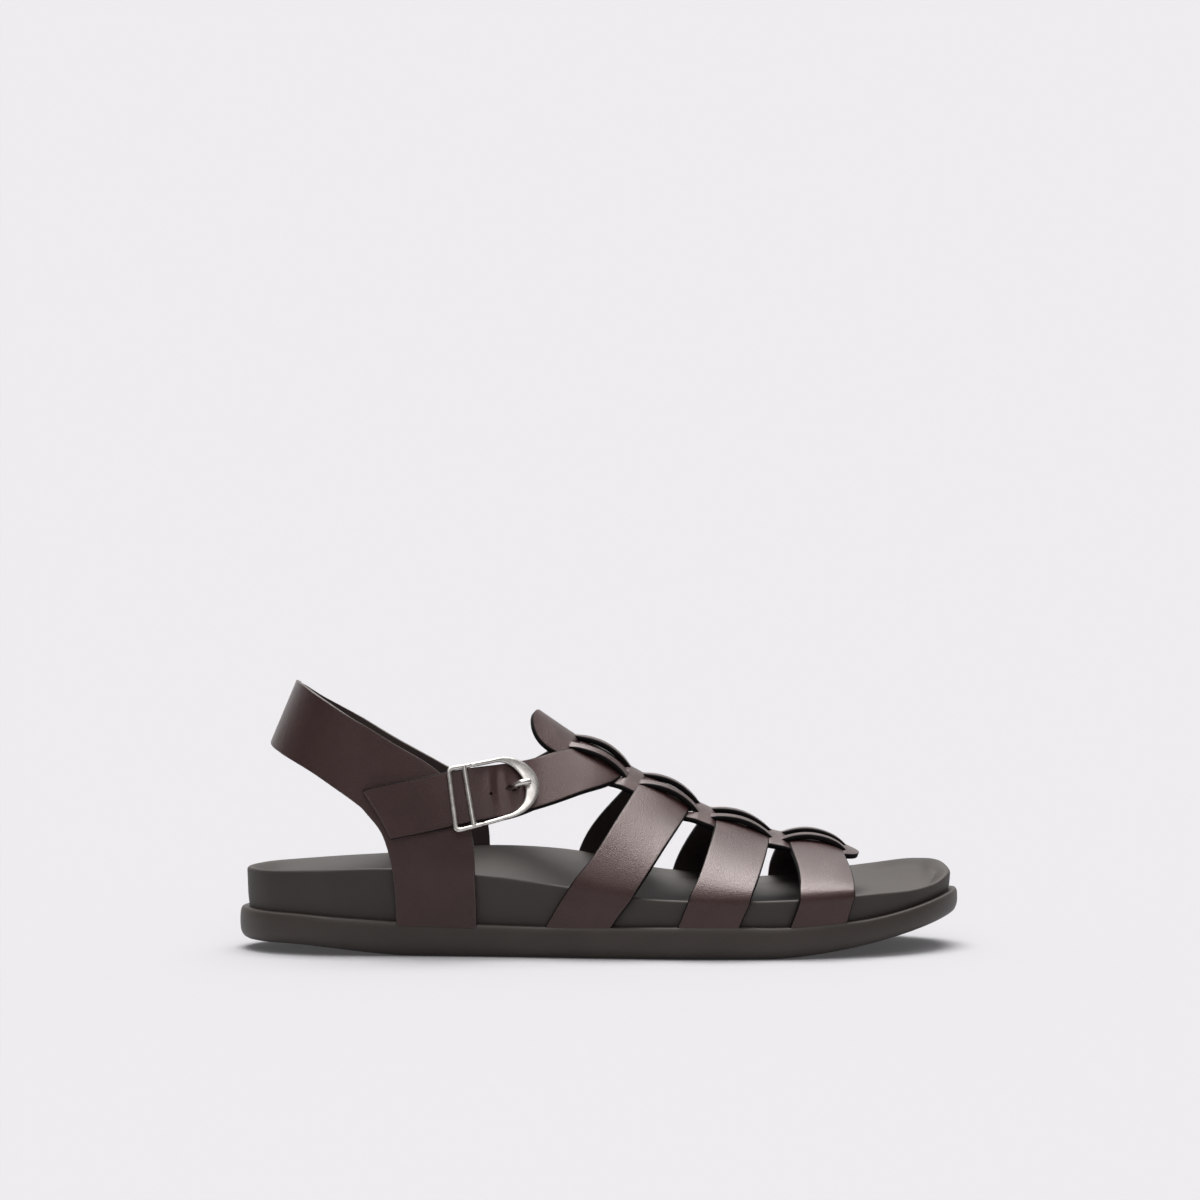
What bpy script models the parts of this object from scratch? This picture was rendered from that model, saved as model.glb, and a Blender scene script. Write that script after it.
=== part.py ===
"""Right-foot leather sandal: a slit spine woven over three cross straps and an
ankle strap, a heel sling cut in one with its two quarters, a side buckle, a
contoured footbed and a welted outsole.

Metres, +Z up, +X toward the toe, -Y the outer side of the foot. The origin is
on the floor under the middle of the sole. Stations run from the heel's back
(0) to the toe's tip (1) as shares of LENGTH, and each table's other columns
are shares of the named size in its heading.
"""
import bpy
import bmesh
import numpy as np

# Sole
LENGTH = 0.295
BALL_WIDTH = 0.107
OUTSOLE_THICKNESS = 0.013
HEEL_BEVEL = 0.0042
HEEL_FLAT_START = 0.245
HEEL_BEVEL_RUN = 0.184
BALL_FLAT_END = 0.73
TOE_SPRING = 0.0145
TOE_SPRING_POWER = 1.7
WELT = 0.0029
FOOTBED_HEIGHT = 0.0225
FOOTBED_ROUND = 0.0065
FOOTBED_EDGE_DROP = 0.0022
HEEL_CUP_DEPTH = 0.0065
HEEL_CUP_END = 0.62
TOE_DISH_DEPTH = 0.0022
DISH_RUN = 0.14

# Leather and fits
LEATHER = 0.0022
CLEARANCE = 0.0003
WALL_EASE = 0.0003
FUSED_DEPTH = 0.0004
SLIT_WIDTH = 0.0004
QUARTER_LIFT = 1 + CLEARANCE / LEATHER

# Upper
INSTEP_HEIGHT = 0.094
CROSS_STRAP_WIDTH = 0.0235
TOE_STRAP_WIDTH = 0.0225
ANKLE_STRAP_WIDTH = 0.0225
SPINE_WIDTH = 0.028
SPINE_START = 0.406
SPINE_END = 0.86
SPINE_GIRTH = -0.12
SLIT_LENGTH = 0.027

# Heel sling
SLING_TOP = 0.110
SLING_DROP = 0.026
SLING_BACK_STATION = 0.0495
SLING_RAKE = 0.42
SLING_SIDE_STATION = 0.17

# Buckle
BUCKLE_STATION = 0.353
BUCKLE_LENGTH = 0.0366
BUCKLE_WIRE = 0.0017
BUCKLE_CRESCENT = 0.0062
BUCKLE_SIDE_GAP = 0.0005
BUCKLE_CORNER = 0.0022
BUCKLE_BOW = 0.0145
BUCKLE_INNER_BOW = 0.0095
BUCKLE_BAR = 0.0014
BUCKLE_KEEPER_PITCH = 0.0064
BUCKLE_PIVOT_PITCH = 0.0094
PRONG_WIDTH = 0.0022
PRONG_SLOT_STEP = 0.0077
PRONG_SLOT_HALF = 0.0034

# Outline of the outsole: station and share of BALL_WIDTH, outer side negative,
# from the heel's back along the outer side to the toe and back.
OUTLINE = [
    (0.000, 0.000), (0.030, -0.210), (0.102, -0.322), (0.210, -0.350),
    (0.356, -0.392), (0.508, -0.458), (0.661, -0.500), (0.786, -0.467),
    (0.888, -0.360), (0.959, -0.196), (1.000, 0.075), (0.976, 0.308),
    (0.908, 0.435), (0.797, 0.492), (0.678, 0.482), (0.542, 0.416),
    (0.400, 0.360), (0.254, 0.346), (0.108, 0.327), (0.030, 0.210)]
TOE_ROW = 10

# Outsole: station, share of OUTSOLE_THICKNESS.
SOLE_THICKNESS = [
    (0.00, 1.00), (0.12, 1.00), (0.20, 1.08), (0.25, 1.08), (0.40, 1.00),
    (0.75, 1.00), (0.83, 0.90), (0.88, 0.81), (0.92, 0.77), (1.00, 0.74)]

# Footbed's rim above the outsole's flat part: station, share of
# FOOTBED_HEIGHT on the outer side and on the inner side.
RIM = [
    (0.00, 0.898, 0.898), (0.10, 0.970, 0.929), (0.20, 1.020, 0.996),
    (0.36, 0.890, 1.142), (0.42, 0.795, 1.105), (0.47, 0.705, 1.027),
    (0.555, 0.542, 0.745), (0.64, 0.493, 0.585), (0.72, 0.489, 0.498),
    (0.80, 0.515, 0.609), (0.88, 0.569, 0.760), (0.945, 0.600, 0.893),
    (0.975, 0.670, 0.898), (1.00, 0.770, 0.790)]

# Outline of the outsole's side, from its underside up: how far in it lies, as
# a share of WELT, and its share of the way up.
OUTSOLE_SIDE = [
    (1.55, 0.00), (0.55, 0.06), (0.10, 0.22), (0.00, 0.50), (0.00, 0.80),
    (0.14, 0.93), (0.45, 1.00)]

# Footbed's rounded rim above its straight wall: how far in, as a share of
# FOOTBED_ROUND, and how far under the rim, as a share of FOOTBED_EDGE_DROP.
FOOTBED_RIM = [
    (0.00, 0.73), (0.05, 0.32), (0.19, 0.05), (0.37, 0.05), (0.65, 0.45), (1.00, 1.00)]

# Ridge of the last: station, share of BALL_WIDTH across, share of
# INSTEP_HEIGHT up.
RIDGE = [
    (0.17, 0.02, 2.290), (0.255, 0.04, 1.755), (0.305, 0.06, 1.470),
    (0.356, 0.09, 1.195), (0.406, 0.11, 1.033), (0.437, 0.11, 0.963),
    (0.463, 0.11, 0.908), (0.549, 0.115, 0.754), (0.647, 0.13, 0.592),
    (0.745, 0.15, 0.478), (0.797, 0.155, 0.449), (0.834, 0.16, 0.425),
    (0.859, 0.16, 0.390), (0.90, 0.16, 0.335)]

# Straps as girth on the last and station. Girth is 0 on the ridge, -1 and 1
# at the footbed's outer and inner rim, and BASE_GIRTH at the outsole, where
# each strap is cut. A unit of girth counts as GIRTH_LENGTH of strap.
BASE_GIRTH = 1.25
GIRTH_LENGTH = 0.05
STRAP_PATHS = {
    "instep_strap": [
        (-1.45, 0.447), (-1.00, 0.503), (-0.62, 0.550), (-0.30, 0.583), (0.0, 0.596),
        (0.45, 0.570), (1.00, 0.510), (1.45, 0.483)],
    "ball_strap": [
        (-1.45, 0.641), (-1.00, 0.666), (-0.62, 0.685), (-0.30, 0.697), (0.0, 0.698),
        (0.45, 0.678), (1.00, 0.644), (1.45, 0.626)],
    "toe_strap": [
        (-1.45, 0.794), (-1.00, 0.814), (-0.62, 0.814), (-0.30, 0.803), (0.0, 0.798),
        (0.45, 0.790), (1.00, 0.776), (1.45, 0.771)]}

# Ankle strap from its free end on the outer side: girth, station, and its
# height over the last as a share of LEATHER.
ANKLE_STRAP = [
    (-0.872, 0.193, QUARTER_LIFT), (-0.849, 0.222, QUARTER_LIFT), (-0.814, 0.257, QUARTER_LIFT),
    (-0.768, 0.292, QUARTER_LIFT), (-0.716, 0.324, 1.20), (-0.664, 0.350, 1.35),
    (-0.606, 0.379, 1.12), (-0.562, 0.399, 0.95), (-0.504, 0.421, 0.50),
    (-0.439, 0.442, 0.25), (-0.362, 0.463, 0.10), (-0.200, 0.500, 0.00), (0.050, 0.502, 0.00),
    (0.455, 0.458, 0.10), (0.610, 0.424, 0.40), (0.725, 0.390, 0.90),
    (0.790, 0.360, QUARTER_LIFT), (0.835, 0.329, QUARTER_LIFT), (0.870, 0.298, QUARTER_LIFT)]
TAIL_SLANT = 0.0035

# Crossings along the spine: station of the middle of each set of slits.
CROSSINGS = [0.500, 0.597, 0.696, 0.798]

# Bands of the spine between its slits: shares of SPINE_WIDTH where each
# starts, and whether it runs over the straps (1) or under them (-1).
BANDS = [(-0.500, -1), (-0.268, 1), (-0.107, -1), (0.107, 1), (0.268, -1), (0.500, 0)]

# Sling and quarter, from the heel's back to the outsole: plan distance of the
# lower and rear edge (share of LENGTH from the side station, negative round
# the heel), its height, and the same of the upper and front edge. Heights are
# shares of SLING_TOP.
SLING = [
    (-0.1695, 0.764, -0.1695, 1.000), (-0.1120, 0.737, -0.1120, 0.986),
    (-0.0610, 0.686, -0.0610, 0.947), (-0.0200, 0.607, -0.0140, 0.885),
    (0.0100, 0.523, 0.0410, 0.795), (0.0290, 0.455, 0.1020, 0.694),
    (0.0405, 0.364, 0.1300, 0.600), (0.0460, 0.273, 0.1537, 0.455),
    (0.0485, 0.185, 0.1590, 0.273), (0.0495, 0.120, 0.1610, 0.120)]
INNER_QUARTER_FORWARD = 0.019
INNER_SLING_DROP = 0.0028

# Bars of the buckle, side to side: share of the half width between the rails,
# and height from the last (0) up to the frame (1).
KEEPER_BAR = [(-1.0, 1.0), (-0.5, 1.0), (0.0, 1.0), (0.5, 1.0), (1.0, 1.0)]
PIVOT_BAR = [
    (-1.0, 1.0), (-1.0, 0.75), (-0.95, 0.0), (-0.48, 0.0), (0.0, 0.0), (0.48, 0.0),
    (0.95, 0.0), (1.0, 0.75), (1.0, 1.0)]

# Prong from the pivot bar on: share of BUCKLE_LENGTH from the buckle's middle,
# and share of its end's height over the last.
PRONG_ROUTE = [
    (-0.055, 0.110), (0.082, 0.110), (0.142, 0.158), (0.186, 0.329), (0.224, 0.560),
    (0.262, 0.804), (0.309, 1.000), (0.385, 1.000)]
PRONG_TIP = 0.6

# Bezier handles of the last's section, as shares of its half width and height
OUTER_FULLNESS = 0.30
INNER_FULLNESS = 0.42

# Mesh steps
FINE_STEPS = 900
FINE_SKIP = 6
OUTLINE_STEPS = 40
STRAP_STEPS = 34
STRAP_COLUMNS = 4
SLING_STEPS = 24
TUBE_SIDES = 8
SLOT_SIDES = 12
PRONG_STEPS = 16


def curve(table, column, at):
    """Smooth curve through one column of a table, read at the given places."""
    rows = np.array(table)
    knots, values = rows[:, 0], rows[:, column]
    at = np.clip(at, knots[0], knots[-1])
    slopes = np.gradient(values, knots)
    i = np.clip(np.searchsorted(knots, at) - 1, 0, len(knots) - 2)
    step = knots[i + 1] - knots[i]
    t = (at - knots[i]) / step
    start = values[i] * (1 + 2 * t) * (1 - t) ** 2 + slopes[i] * step * t * (1 - t) ** 2
    end = values[i + 1] * t * t * (3 - 2 * t) - slopes[i + 1] * step * t * t * (1 - t)
    return start + end


def resample(points, count):
    """Smooth curve through a list of points, read at even chord lengths."""
    points = np.array(points, dtype=float)
    steps = np.linalg.norm(np.diff(points[:, :2], axis=0), axis=1)
    walk = np.concatenate([[0.0], np.cumsum(steps)]) / steps.sum()
    table = np.column_stack([walk, points])
    at = np.linspace(0, 1, count)
    return np.column_stack([curve(table, c + 1, at) for c in range(points.shape[1])])


def closed_outline():
    """Outer half and inner half of the sole's outline, heel to toe, in metres."""
    rows = np.array(OUTLINE) * [LENGTH, BALL_WIDTH]
    looped = np.vstack([rows[-2:], rows, rows[:3]])
    fine = resample(looped, FINE_STEPS)
    half_way = FINE_STEPS // 2
    start = np.argmin(np.linalg.norm(fine[:half_way] - rows[0], axis=1))
    toe = np.argmin(np.linalg.norm(fine - rows[TOE_ROW], axis=1))
    end = half_way + np.argmin(np.linalg.norm(fine[half_way:] - rows[0], axis=1))
    halves = []
    for half in (fine[start:toe + 1], fine[toe:end + 1][::-1]):
        halves.append(resample(half[::FINE_SKIP], OUTLINE_STEPS + 1))
    halves[1][0] = halves[0][0]
    halves[1][-1] = halves[0][-1]
    both = np.vstack(halves)
    middle = (both.max(axis=0) + both.min(axis=0)) / 2
    return halves[0] - middle, halves[1] - middle


OUTER_EDGE, INNER_EDGE = closed_outline()
RING = np.vstack([OUTER_EDGE, INNER_EDGE[-2:0:-1]])
HEEL_X = RING[:, 0].min()


def station_of(x):
    return (x - HEEL_X) / LENGTH


def inset(distance):
    """The outline moved inward by a distance, point by point."""
    tangent = np.roll(RING, -1, axis=0) - np.roll(RING, 1, axis=0)
    tangent /= np.linalg.norm(tangent, axis=1)[:, None]
    inward = np.column_stack([-tangent[:, 1], tangent[:, 0]])
    return RING + inward * distance


def sole_bottom(x):
    """Height of the outsole's underside: heel bevel, flat, toe spring."""
    s = station_of(x)
    heel = np.clip((HEEL_FLAT_START - s) / HEEL_BEVEL_RUN, 0, 1)
    toe = np.clip((s - BALL_FLAT_END) / (1 - BALL_FLAT_END), 0, 1)
    return HEEL_BEVEL * heel ** 2 * (3 - 2 * heel) + TOE_SPRING * toe ** TOE_SPRING_POWER


def sole_top(x):
    return sole_bottom(x) + OUTSOLE_THICKNESS * curve(SOLE_THICKNESS, 1, station_of(x))


def rim_height(x, across):
    """Footbed's rim; across runs from 0 on the outer side to 1 on the inner."""
    s = station_of(x)
    share = (1 - across) * curve(RIM, 1, s) + across * curve(RIM, 2, s)
    return OUTSOLE_THICKNESS + FOOTBED_HEIGHT * share


def wall_y(side, x):
    """Footbed's wall at a place along the sole; side is -1 outer or 1 inner."""
    ring = inset(WELT)
    half = ring[:OUTLINE_STEPS + 1] if side < 0 else ring[OUTLINE_STEPS:]
    order = np.argsort(half[:, 0])
    return np.interp(x, half[order, 0], half[order, 1])


def last_point(x, girth):
    """Point of the last's surface at a place along it and a girth."""
    s = station_of(x)
    ridge_y = BALL_WIDTH * curve(RIDGE, 1, s)
    ridge_z = INSTEP_HEIGHT * curve(RIDGE, 2, s)
    outer = girth < 0
    ease = CLEARANCE + WALL_EASE
    rim_y = np.where(outer, wall_y(-1, x) - ease, wall_y(1, x) + ease)
    rim_z = rim_height(x, np.where(outer, 0.0, 1.0))
    fullness = np.where(outer, OUTER_FULLNESS, INNER_FULLNESS)
    t = np.clip(np.abs(girth), 0, 1)
    near_ridge = (1 - t) ** 3 + 3 * (1 - t) ** 2 * t
    handle_y = 3 * (1 - t) ** 2 * t * fullness * (rim_y - ridge_y)
    handle_z = 3 * (1 - t) * t ** 2 * fullness * (ridge_z - rim_z)
    y = rim_y + near_ridge * (ridge_y - rim_y) + handle_y
    z = rim_z + near_ridge * (ridge_z - rim_z) + handle_z
    foot = sole_top(x) + CLEARANCE
    down = np.maximum((np.abs(girth) - 1) / (BASE_GIRTH - 1), 0)
    return np.stack([x + 0 * y, y, z - down * (rim_z - foot)], axis=-1)


def last_side(side, x, z):
    """How far across the last's side is at a place along it and a height."""
    girths = side * np.linspace(0, BASE_GIRTH, 61)
    result = np.empty(len(x))
    for k, (place, height) in enumerate(zip(x, z)):
        section = last_point(np.full(61, place), girths)
        result[k] = np.interp(-height, -section[:, 2], section[:, 1])
    return result


def ribbon(path, width, columns, slant=0.0):
    """Grid of points on the last: a path of x and girth, widened both ways.

    The columns list shares of the width. The slant moves the two sides of the
    first rows opposite ways along the path, which cuts that end askew.
    """
    path = np.asarray(path, dtype=float)
    small = 1e-4
    centre = last_point(path[:, 0], path[:, 1])
    along = np.gradient(centre, axis=0)
    along /= np.linalg.norm(along, axis=1)[:, None]
    by_x = (last_point(path[:, 0] + small, path[:, 1]) - centre) / small
    turn = np.where(path[:, 1] < 0, small, -small)
    by_girth = (last_point(path[:, 0], path[:, 1] + turn) - centre) / turn[:, None]
    normal = np.cross(by_x, by_girth)
    normal /= np.linalg.norm(normal, axis=1)[:, None]
    across = np.cross(normal, along)
    grid = []
    fade = np.linspace(1, 0, len(path)) ** 6
    for share in columns:
        askew = 2 * share * slant * fade
        move = across * (share * width)[:, None] + along * askew[:, None]
        moved = []
        for row in range(len(path)):
            basis = np.column_stack([by_x[row], by_girth[row]])
            moved.append(np.linalg.lstsq(basis, move[row], rcond=None)[0])
        shifted = path[:, :2] + np.array(moved)
        grid.append(last_point(shifted[:, 0], shifted[:, 1]))
    return np.stack(grid, axis=1)


def outward_normals(grid):
    """Unit normals of a grid of points, turned away from the foot's axis."""
    normal = np.cross(np.gradient(grid, axis=0), np.gradient(grid, axis=1))
    normal /= np.linalg.norm(normal, axis=2)[:, :, None]
    heart = grid * [1, 0, 0] + [0, 0, OUTSOLE_THICKNESS]
    facing = np.sum(normal * (grid - heart))
    return normal if facing > 0 else -normal


def mesh_object(name, vertices, faces, material, weld=1e-6):
    """Object from points and faces, with coincident points joined."""
    mesh = bpy.data.meshes.new(name)
    mesh.from_pydata([tuple(v) for v in vertices], [], faces)
    work = bmesh.new()
    work.from_mesh(mesh)
    bmesh.ops.remove_doubles(work, verts=work.verts, dist=weld)
    bmesh.ops.dissolve_degenerate(work, edges=work.edges, dist=weld)
    bmesh.ops.recalc_face_normals(work, faces=work.faces)
    work.to_mesh(mesh)
    work.free()
    mesh.shade_smooth()
    mesh.set_sharp_from_angle(angle=np.radians(40))
    result = bpy.data.objects.new(name, mesh)
    bpy.context.collection.objects.link(result)
    mesh.materials.append(material)
    return result


def sheet_faces(rows, columns):
    """Faces of a slab whose upper points come first, then its lower points."""
    def at(layer, i, j):
        return layer * rows * columns + i * columns + j
    faces = []
    for i in range(rows - 1):
        for j in range(columns - 1):
            faces.append((at(0, i, j), at(0, i, j + 1), at(0, i + 1, j + 1), at(0, i + 1, j)))
            faces.append((at(1, i, j), at(1, i + 1, j), at(1, i + 1, j + 1), at(1, i, j + 1)))
        faces.append((at(0, i, 0), at(0, i + 1, 0), at(1, i + 1, 0), at(1, i, 0)))
        last = columns - 1
        faces.append((at(0, i, last), at(1, i, last), at(1, i + 1, last), at(0, i + 1, last)))
    for j in range(columns - 1):
        for i in (0, rows - 1):
            faces.append((at(0, i, j), at(1, i, j), at(1, i, j + 1), at(0, i, j + 1)))
    return faces


def leather_sheet(name, grid, lift, material):
    """Slab of leather on a grid of the last's points, at a height over it."""
    normal = outward_normals(grid)
    lower = grid + normal * lift
    upper = lower + normal * LEATHER
    vertices = np.concatenate([upper.reshape(-1, 3), lower.reshape(-1, 3)])
    return mesh_object(name, vertices, sheet_faces(*grid.shape[:2]), material)


def cap_faces(ring_start, ring, columns, height, vertices, faces):
    """Close a ring with rows from its outer half to its inner half."""
    count = len(ring)
    rows = OUTLINE_STEPS
    index = {}
    for i in range(1, rows):
        left, right = i, count - i
        index[i, 0] = ring_start + left
        index[i, columns] = ring_start + right
        for j in range(1, columns):
            share = j / columns
            point = ring[left] * (1 - share) + ring[right] * share
            index[i, j] = len(vertices)
            vertices.append((point[0], point[1], height(point[0], point[1], share)))
    for i in range(1, rows - 1):
        for j in range(columns):
            faces.append((index[i, j], index[i + 1, j], index[i + 1, j + 1], index[i, j + 1]))
    for i, tip in ((1, ring_start), (rows - 1, ring_start + rows)):
        for j in range(columns):
            faces.append((tip, index[i, j], index[i, j + 1]))


def ring_solid(name, rings, low_cap, high_cap, material):
    """Solid from rings listed upward, each a ring of points with heights."""
    vertices, faces = [], []
    count = len(RING)
    for ring, heights in rings:
        for point, z in zip(ring, heights):
            vertices.append((point[0], point[1], z))
    for r in range(len(rings) - 1):
        for k in range(count):
            a, b = r * count + k, r * count + (k + 1) % count
            faces.append((a, b, b + count, a + count))
    cap_faces(0, rings[0][0], low_cap[0], low_cap[1], vertices, faces)
    top = (len(rings) - 1) * count
    cap_faces(top, rings[-1][0], high_cap[0], high_cap[1], vertices, faces)
    return mesh_object(name, vertices, faces, material)


def across_of_ring():
    """Share across the sole of each ring point: 0 outer side, 1 inner side."""
    outer = np.zeros(OUTLINE_STEPS + 1)
    inner = np.ones(len(RING) - OUTLINE_STEPS - 1)
    across = np.concatenate([outer, inner])
    across[0] = across[OUTLINE_STEPS] = 0.5
    return across


def build_outsole(material):
    """Rubber unit: flat tread face, round side and a welt round the footbed."""
    rings = []
    for distance, share in OUTSOLE_SIDE:
        ring = inset(distance * WELT)
        low, high = sole_bottom(ring[:, 0]), sole_top(ring[:, 0])
        rings.append((ring, low + share * (high - low)))
    bottom = (4, lambda x, y, share: float(sole_bottom(x)))
    top = (4, lambda x, y, share: float(sole_top(x)))
    return ring_solid("outsole", rings, bottom, top, material)


def footbed_top(x, y, share):
    """Dished top surface inside the rim, over the rows of the cap."""
    s = station_of(x)
    edge = rim_height(x, share) - FOOTBED_EDGE_DROP
    heel = np.clip(1 - s / HEEL_CUP_END, 0, 1) ** 0.5
    depth = TOE_DISH_DEPTH + (HEEL_CUP_DEPTH - TOE_DISH_DEPTH) * heel
    ends = np.clip(np.minimum(s, 1 - s) / DISH_RUN, 0, 1)
    bowl = np.sin(np.pi * share) ** 0.9 * np.sin(np.pi / 2 * ends)
    return float(edge - depth * bowl)


def build_footbed(material):
    """Contoured footbed with a rounded rim, standing inside the welt."""
    across = across_of_ring()
    foot = inset(WELT)
    rings = [(foot, sole_top(foot[:, 0]) + CLEARANCE)]
    for distance, drop in FOOTBED_RIM:
        ring = inset(WELT + distance * FOOTBED_ROUND)
        rings.append((ring, rim_height(ring[:, 0], across) - drop * FOOTBED_EDGE_DROP))
    bottom = (4, lambda x, y, share: float(sole_top(x)) + CLEARANCE)
    top = (10, footbed_top)
    return ring_solid("footbed", rings, bottom, top, material)


def strap_path(table):
    """Rows of x and girth, and any further column, at even steps."""
    rows = np.array(table, dtype=float)
    x, girth = rows[:, 1] * LENGTH + HEEL_X, rows[:, 0] * GIRTH_LENGTH
    even = resample(np.column_stack([x, girth, rows[:, 2:]]), STRAP_STEPS)
    even[:, 1] /= GIRTH_LENGTH
    return even


def cut_at_outsole(grid):
    """Each long line of a strap, shortened to end just over the outsole."""
    rows = np.arange(len(grid), dtype=float)
    half = len(grid) // 2
    cut = grid.copy()
    for line, result in zip(grid.transpose(1, 0, 2), cut.transpose(1, 0, 2)):
        over = line[:, 2] - sole_top(line[:, 0]) - CLEARANCE
        start = np.interp(0, over[:half], rows[:half])
        end = np.interp(0, over[:half:-1], rows[:half:-1])
        places = np.linspace(start, end, len(rows))
        for axis in range(3):
            result[:, axis] = np.interp(places, rows, line[:, axis])
    return cut


def build_cross_strap(name, material):
    path = strap_path(STRAP_PATHS[name])
    width = TOE_STRAP_WIDTH if name == "toe_strap" else CROSS_STRAP_WIDTH
    shares = np.linspace(-0.5, 0.5, STRAP_COLUMNS + 1)
    grid = cut_at_outsole(ribbon(path, np.full(len(path), width), shares))
    return leather_sheet(name, grid, 0.0, material)


def ankle_grid(columns):
    path = strap_path(ANKLE_STRAP)
    grid = ribbon(path, np.full(len(path), ANKLE_STRAP_WIDTH), columns, -TAIL_SLANT)
    lift = path[:, 2] * LEATHER
    return grid, lift


def build_ankle_strap(material):
    grid, lift = ankle_grid(np.linspace(-0.5, 0.5, STRAP_COLUMNS + 1))
    return leather_sheet("ankle_strap", grid, lift[:, None, None], material)


def spine_rows():
    """Rows along the spine: x, and how far the weave has risen there, 0 to 1."""
    x = HEEL_X + LENGTH * np.linspace(SPINE_START, SPINE_END, 400)
    centre = last_point(x, np.full(400, SPINE_GIRTH))
    walk = np.concatenate([[0], np.cumsum(np.linalg.norm(np.diff(centre, axis=0), axis=1))])
    half = SLIT_LENGTH / 2
    window = np.array([-1, -0.94, -0.84, -0.62, -0.32, 0, 0.32, 0.62, 0.84, 0.94, 1]) * half
    rise = [0, 0.45, 0.85, 1, 1, 1, 1, 1, 0.85, 0.45, 0]
    rows = []
    tip = SPINE_WIDTH / 2 * (1 - np.cos(np.radians([12, 30, 50, 70, 90])))
    rows += [(place, 0) for place in tip]
    for station in CROSSINGS:
        middle = np.interp(HEEL_X + LENGTH * station, x, walk)
        rows += list(zip(middle + window, rise))
    end = [walk[-1] - place for place in tip[3::-1] if walk[-1] - place > rows[-1][0] + 0.001]
    rows += [(place, 0) for place in end]
    places = np.array([row[0] for row in rows])
    return np.interp(places, walk, x), np.array([row[1] for row in rows]), places, walk[-1]


def build_spine(material):
    """Slit strip whose narrow bands arch over the straps between the others."""
    x, rise, places, total = spine_rows()
    path = np.column_stack([x, np.full(len(x), SPINE_GIRTH)])
    round_end = np.minimum(places, total - places) / (SPINE_WIDTH / 2)
    width = SPINE_WIDTH * np.sqrt(1 - (1 - np.clip(round_end, 0, 1)) ** 2)
    inside = (rise > 0) * SLIT_WIDTH / 2 / SPINE_WIDTH
    vertices, faces = [], []
    step = LEATHER - FUSED_DEPTH
    last_band = len(BANDS) - 2
    for band, ((low, level), (high, _)) in enumerate(zip(BANDS[:-1], BANDS[1:])):
        cells = 2 if band in (0, last_band) else 1
        columns = []
        for c in range(cells + 1):
            share = low + (high - low) * c / cells
            left_gap = inside if c == 0 and band > 0 else 0
            right_gap = inside if c == cells and band < last_band else 0
            columns.append(share + left_gap - right_gap)
        grid = np.stack([spine_column(path, width, share) for share in columns], axis=1)
        normal = spine_normals(path, width, columns)
        lower = grid + normal * (rise * level * step)[:, None, None]
        upper = lower + normal * LEATHER
        add_band(vertices, faces, upper, lower, rise, band == 0, band == last_band)
    return mesh_object("upper", vertices, faces, material, weld=1e-5)


def spine_column(path, width, share):
    """One line of points along the spine, at a share of its width per row."""
    share = np.broadcast_to(share, (len(path),))
    return ribbon(path, width * share, [1.0])[:, 0]


def spine_normals(path, width, columns):
    """Normals of the last along the spine's columns."""
    small = 0.02
    normals = []
    for share in columns:
        here = spine_column(path, width, share)
        beside = spine_column(path, width, np.asarray(share) + small)
        normal = np.cross(np.gradient(here, axis=0), beside - here)
        normal /= np.linalg.norm(normal, axis=1)[:, None]
        normals.append(normal * np.sign(normal[:, 2:3]))
    return np.stack(normals, axis=1)


def add_band(vertices, faces, upper, lower, rise, first, last):
    """Add one band's faces; its sides stay open where the next band joins it."""
    rows, columns = upper.shape[:2]
    start = len(vertices)
    vertices.extend(upper.reshape(-1, 3))
    vertices.extend(lower.reshape(-1, 3))

    def at(layer, i, j):
        return start + layer * rows * columns + i * columns + j
    for i in range(rows - 1):
        for j in range(columns - 1):
            faces.append((at(0, i, j), at(0, i, j + 1), at(0, i + 1, j + 1), at(0, i + 1, j)))
            faces.append((at(1, i, j), at(1, i + 1, j), at(1, i + 1, j + 1), at(1, i, j + 1)))
        parted = rise[i] > 0 or rise[i + 1] > 0
        if parted or first:
            faces.append((at(0, i, 0), at(0, i + 1, 0), at(1, i + 1, 0), at(1, i, 0)))
        if parted or last:
            j = columns - 1
            faces.append((at(0, i, j), at(1, i, j), at(1, i + 1, j), at(0, i + 1, j)))
    for j in range(columns - 1):
        for i in (0, rows - 1):
            faces.append((at(0, i, j), at(1, i, j), at(1, i, j + 1), at(0, i, j + 1)))


def hidden(piece):
    piece.hide_render = True
    piece.display_type = "WIRE"
    return piece


def join(target, other, operation):
    modifier = target.modifiers.new(other.name, "BOOLEAN")
    modifier.operation = operation
    modifier.object = other
    modifier.solver = "EXACT"


def build_upper(material):
    """Spine, cross straps and ankle strap, fused where they cross."""
    upper = build_spine(material)
    for name in STRAP_PATHS:
        join(upper, hidden(build_cross_strap(name, material)), "UNION")
    join(upper, hidden(build_ankle_strap(material)), "UNION")
    join(upper, hidden(build_prong_hole(material)), "DIFFERENCE")
    return upper


def sling_point(side, plan, height):
    """Point on the sling's plan line: round the heel below 0, then forward."""
    side_x = HEEL_X + LENGTH * SLING_SIDE_STATION
    turn = np.clip(1 + plan / -SLING[0][0], 0, 1) * np.pi / 2
    back_x = HEEL_X + LENGTH * SLING_BACK_STATION
    back_x = back_x + (height - (SLING_TOP - SLING_DROP)) * SLING_RAKE
    round_x = side_x - (side_x - back_x) * np.cos(turn)
    x = np.where(plan < 0, round_x, side_x + plan * LENGTH)
    y = last_side(side, np.maximum(x, side_x), height)
    return np.column_stack([x, y * np.sin(turn), height])


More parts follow.
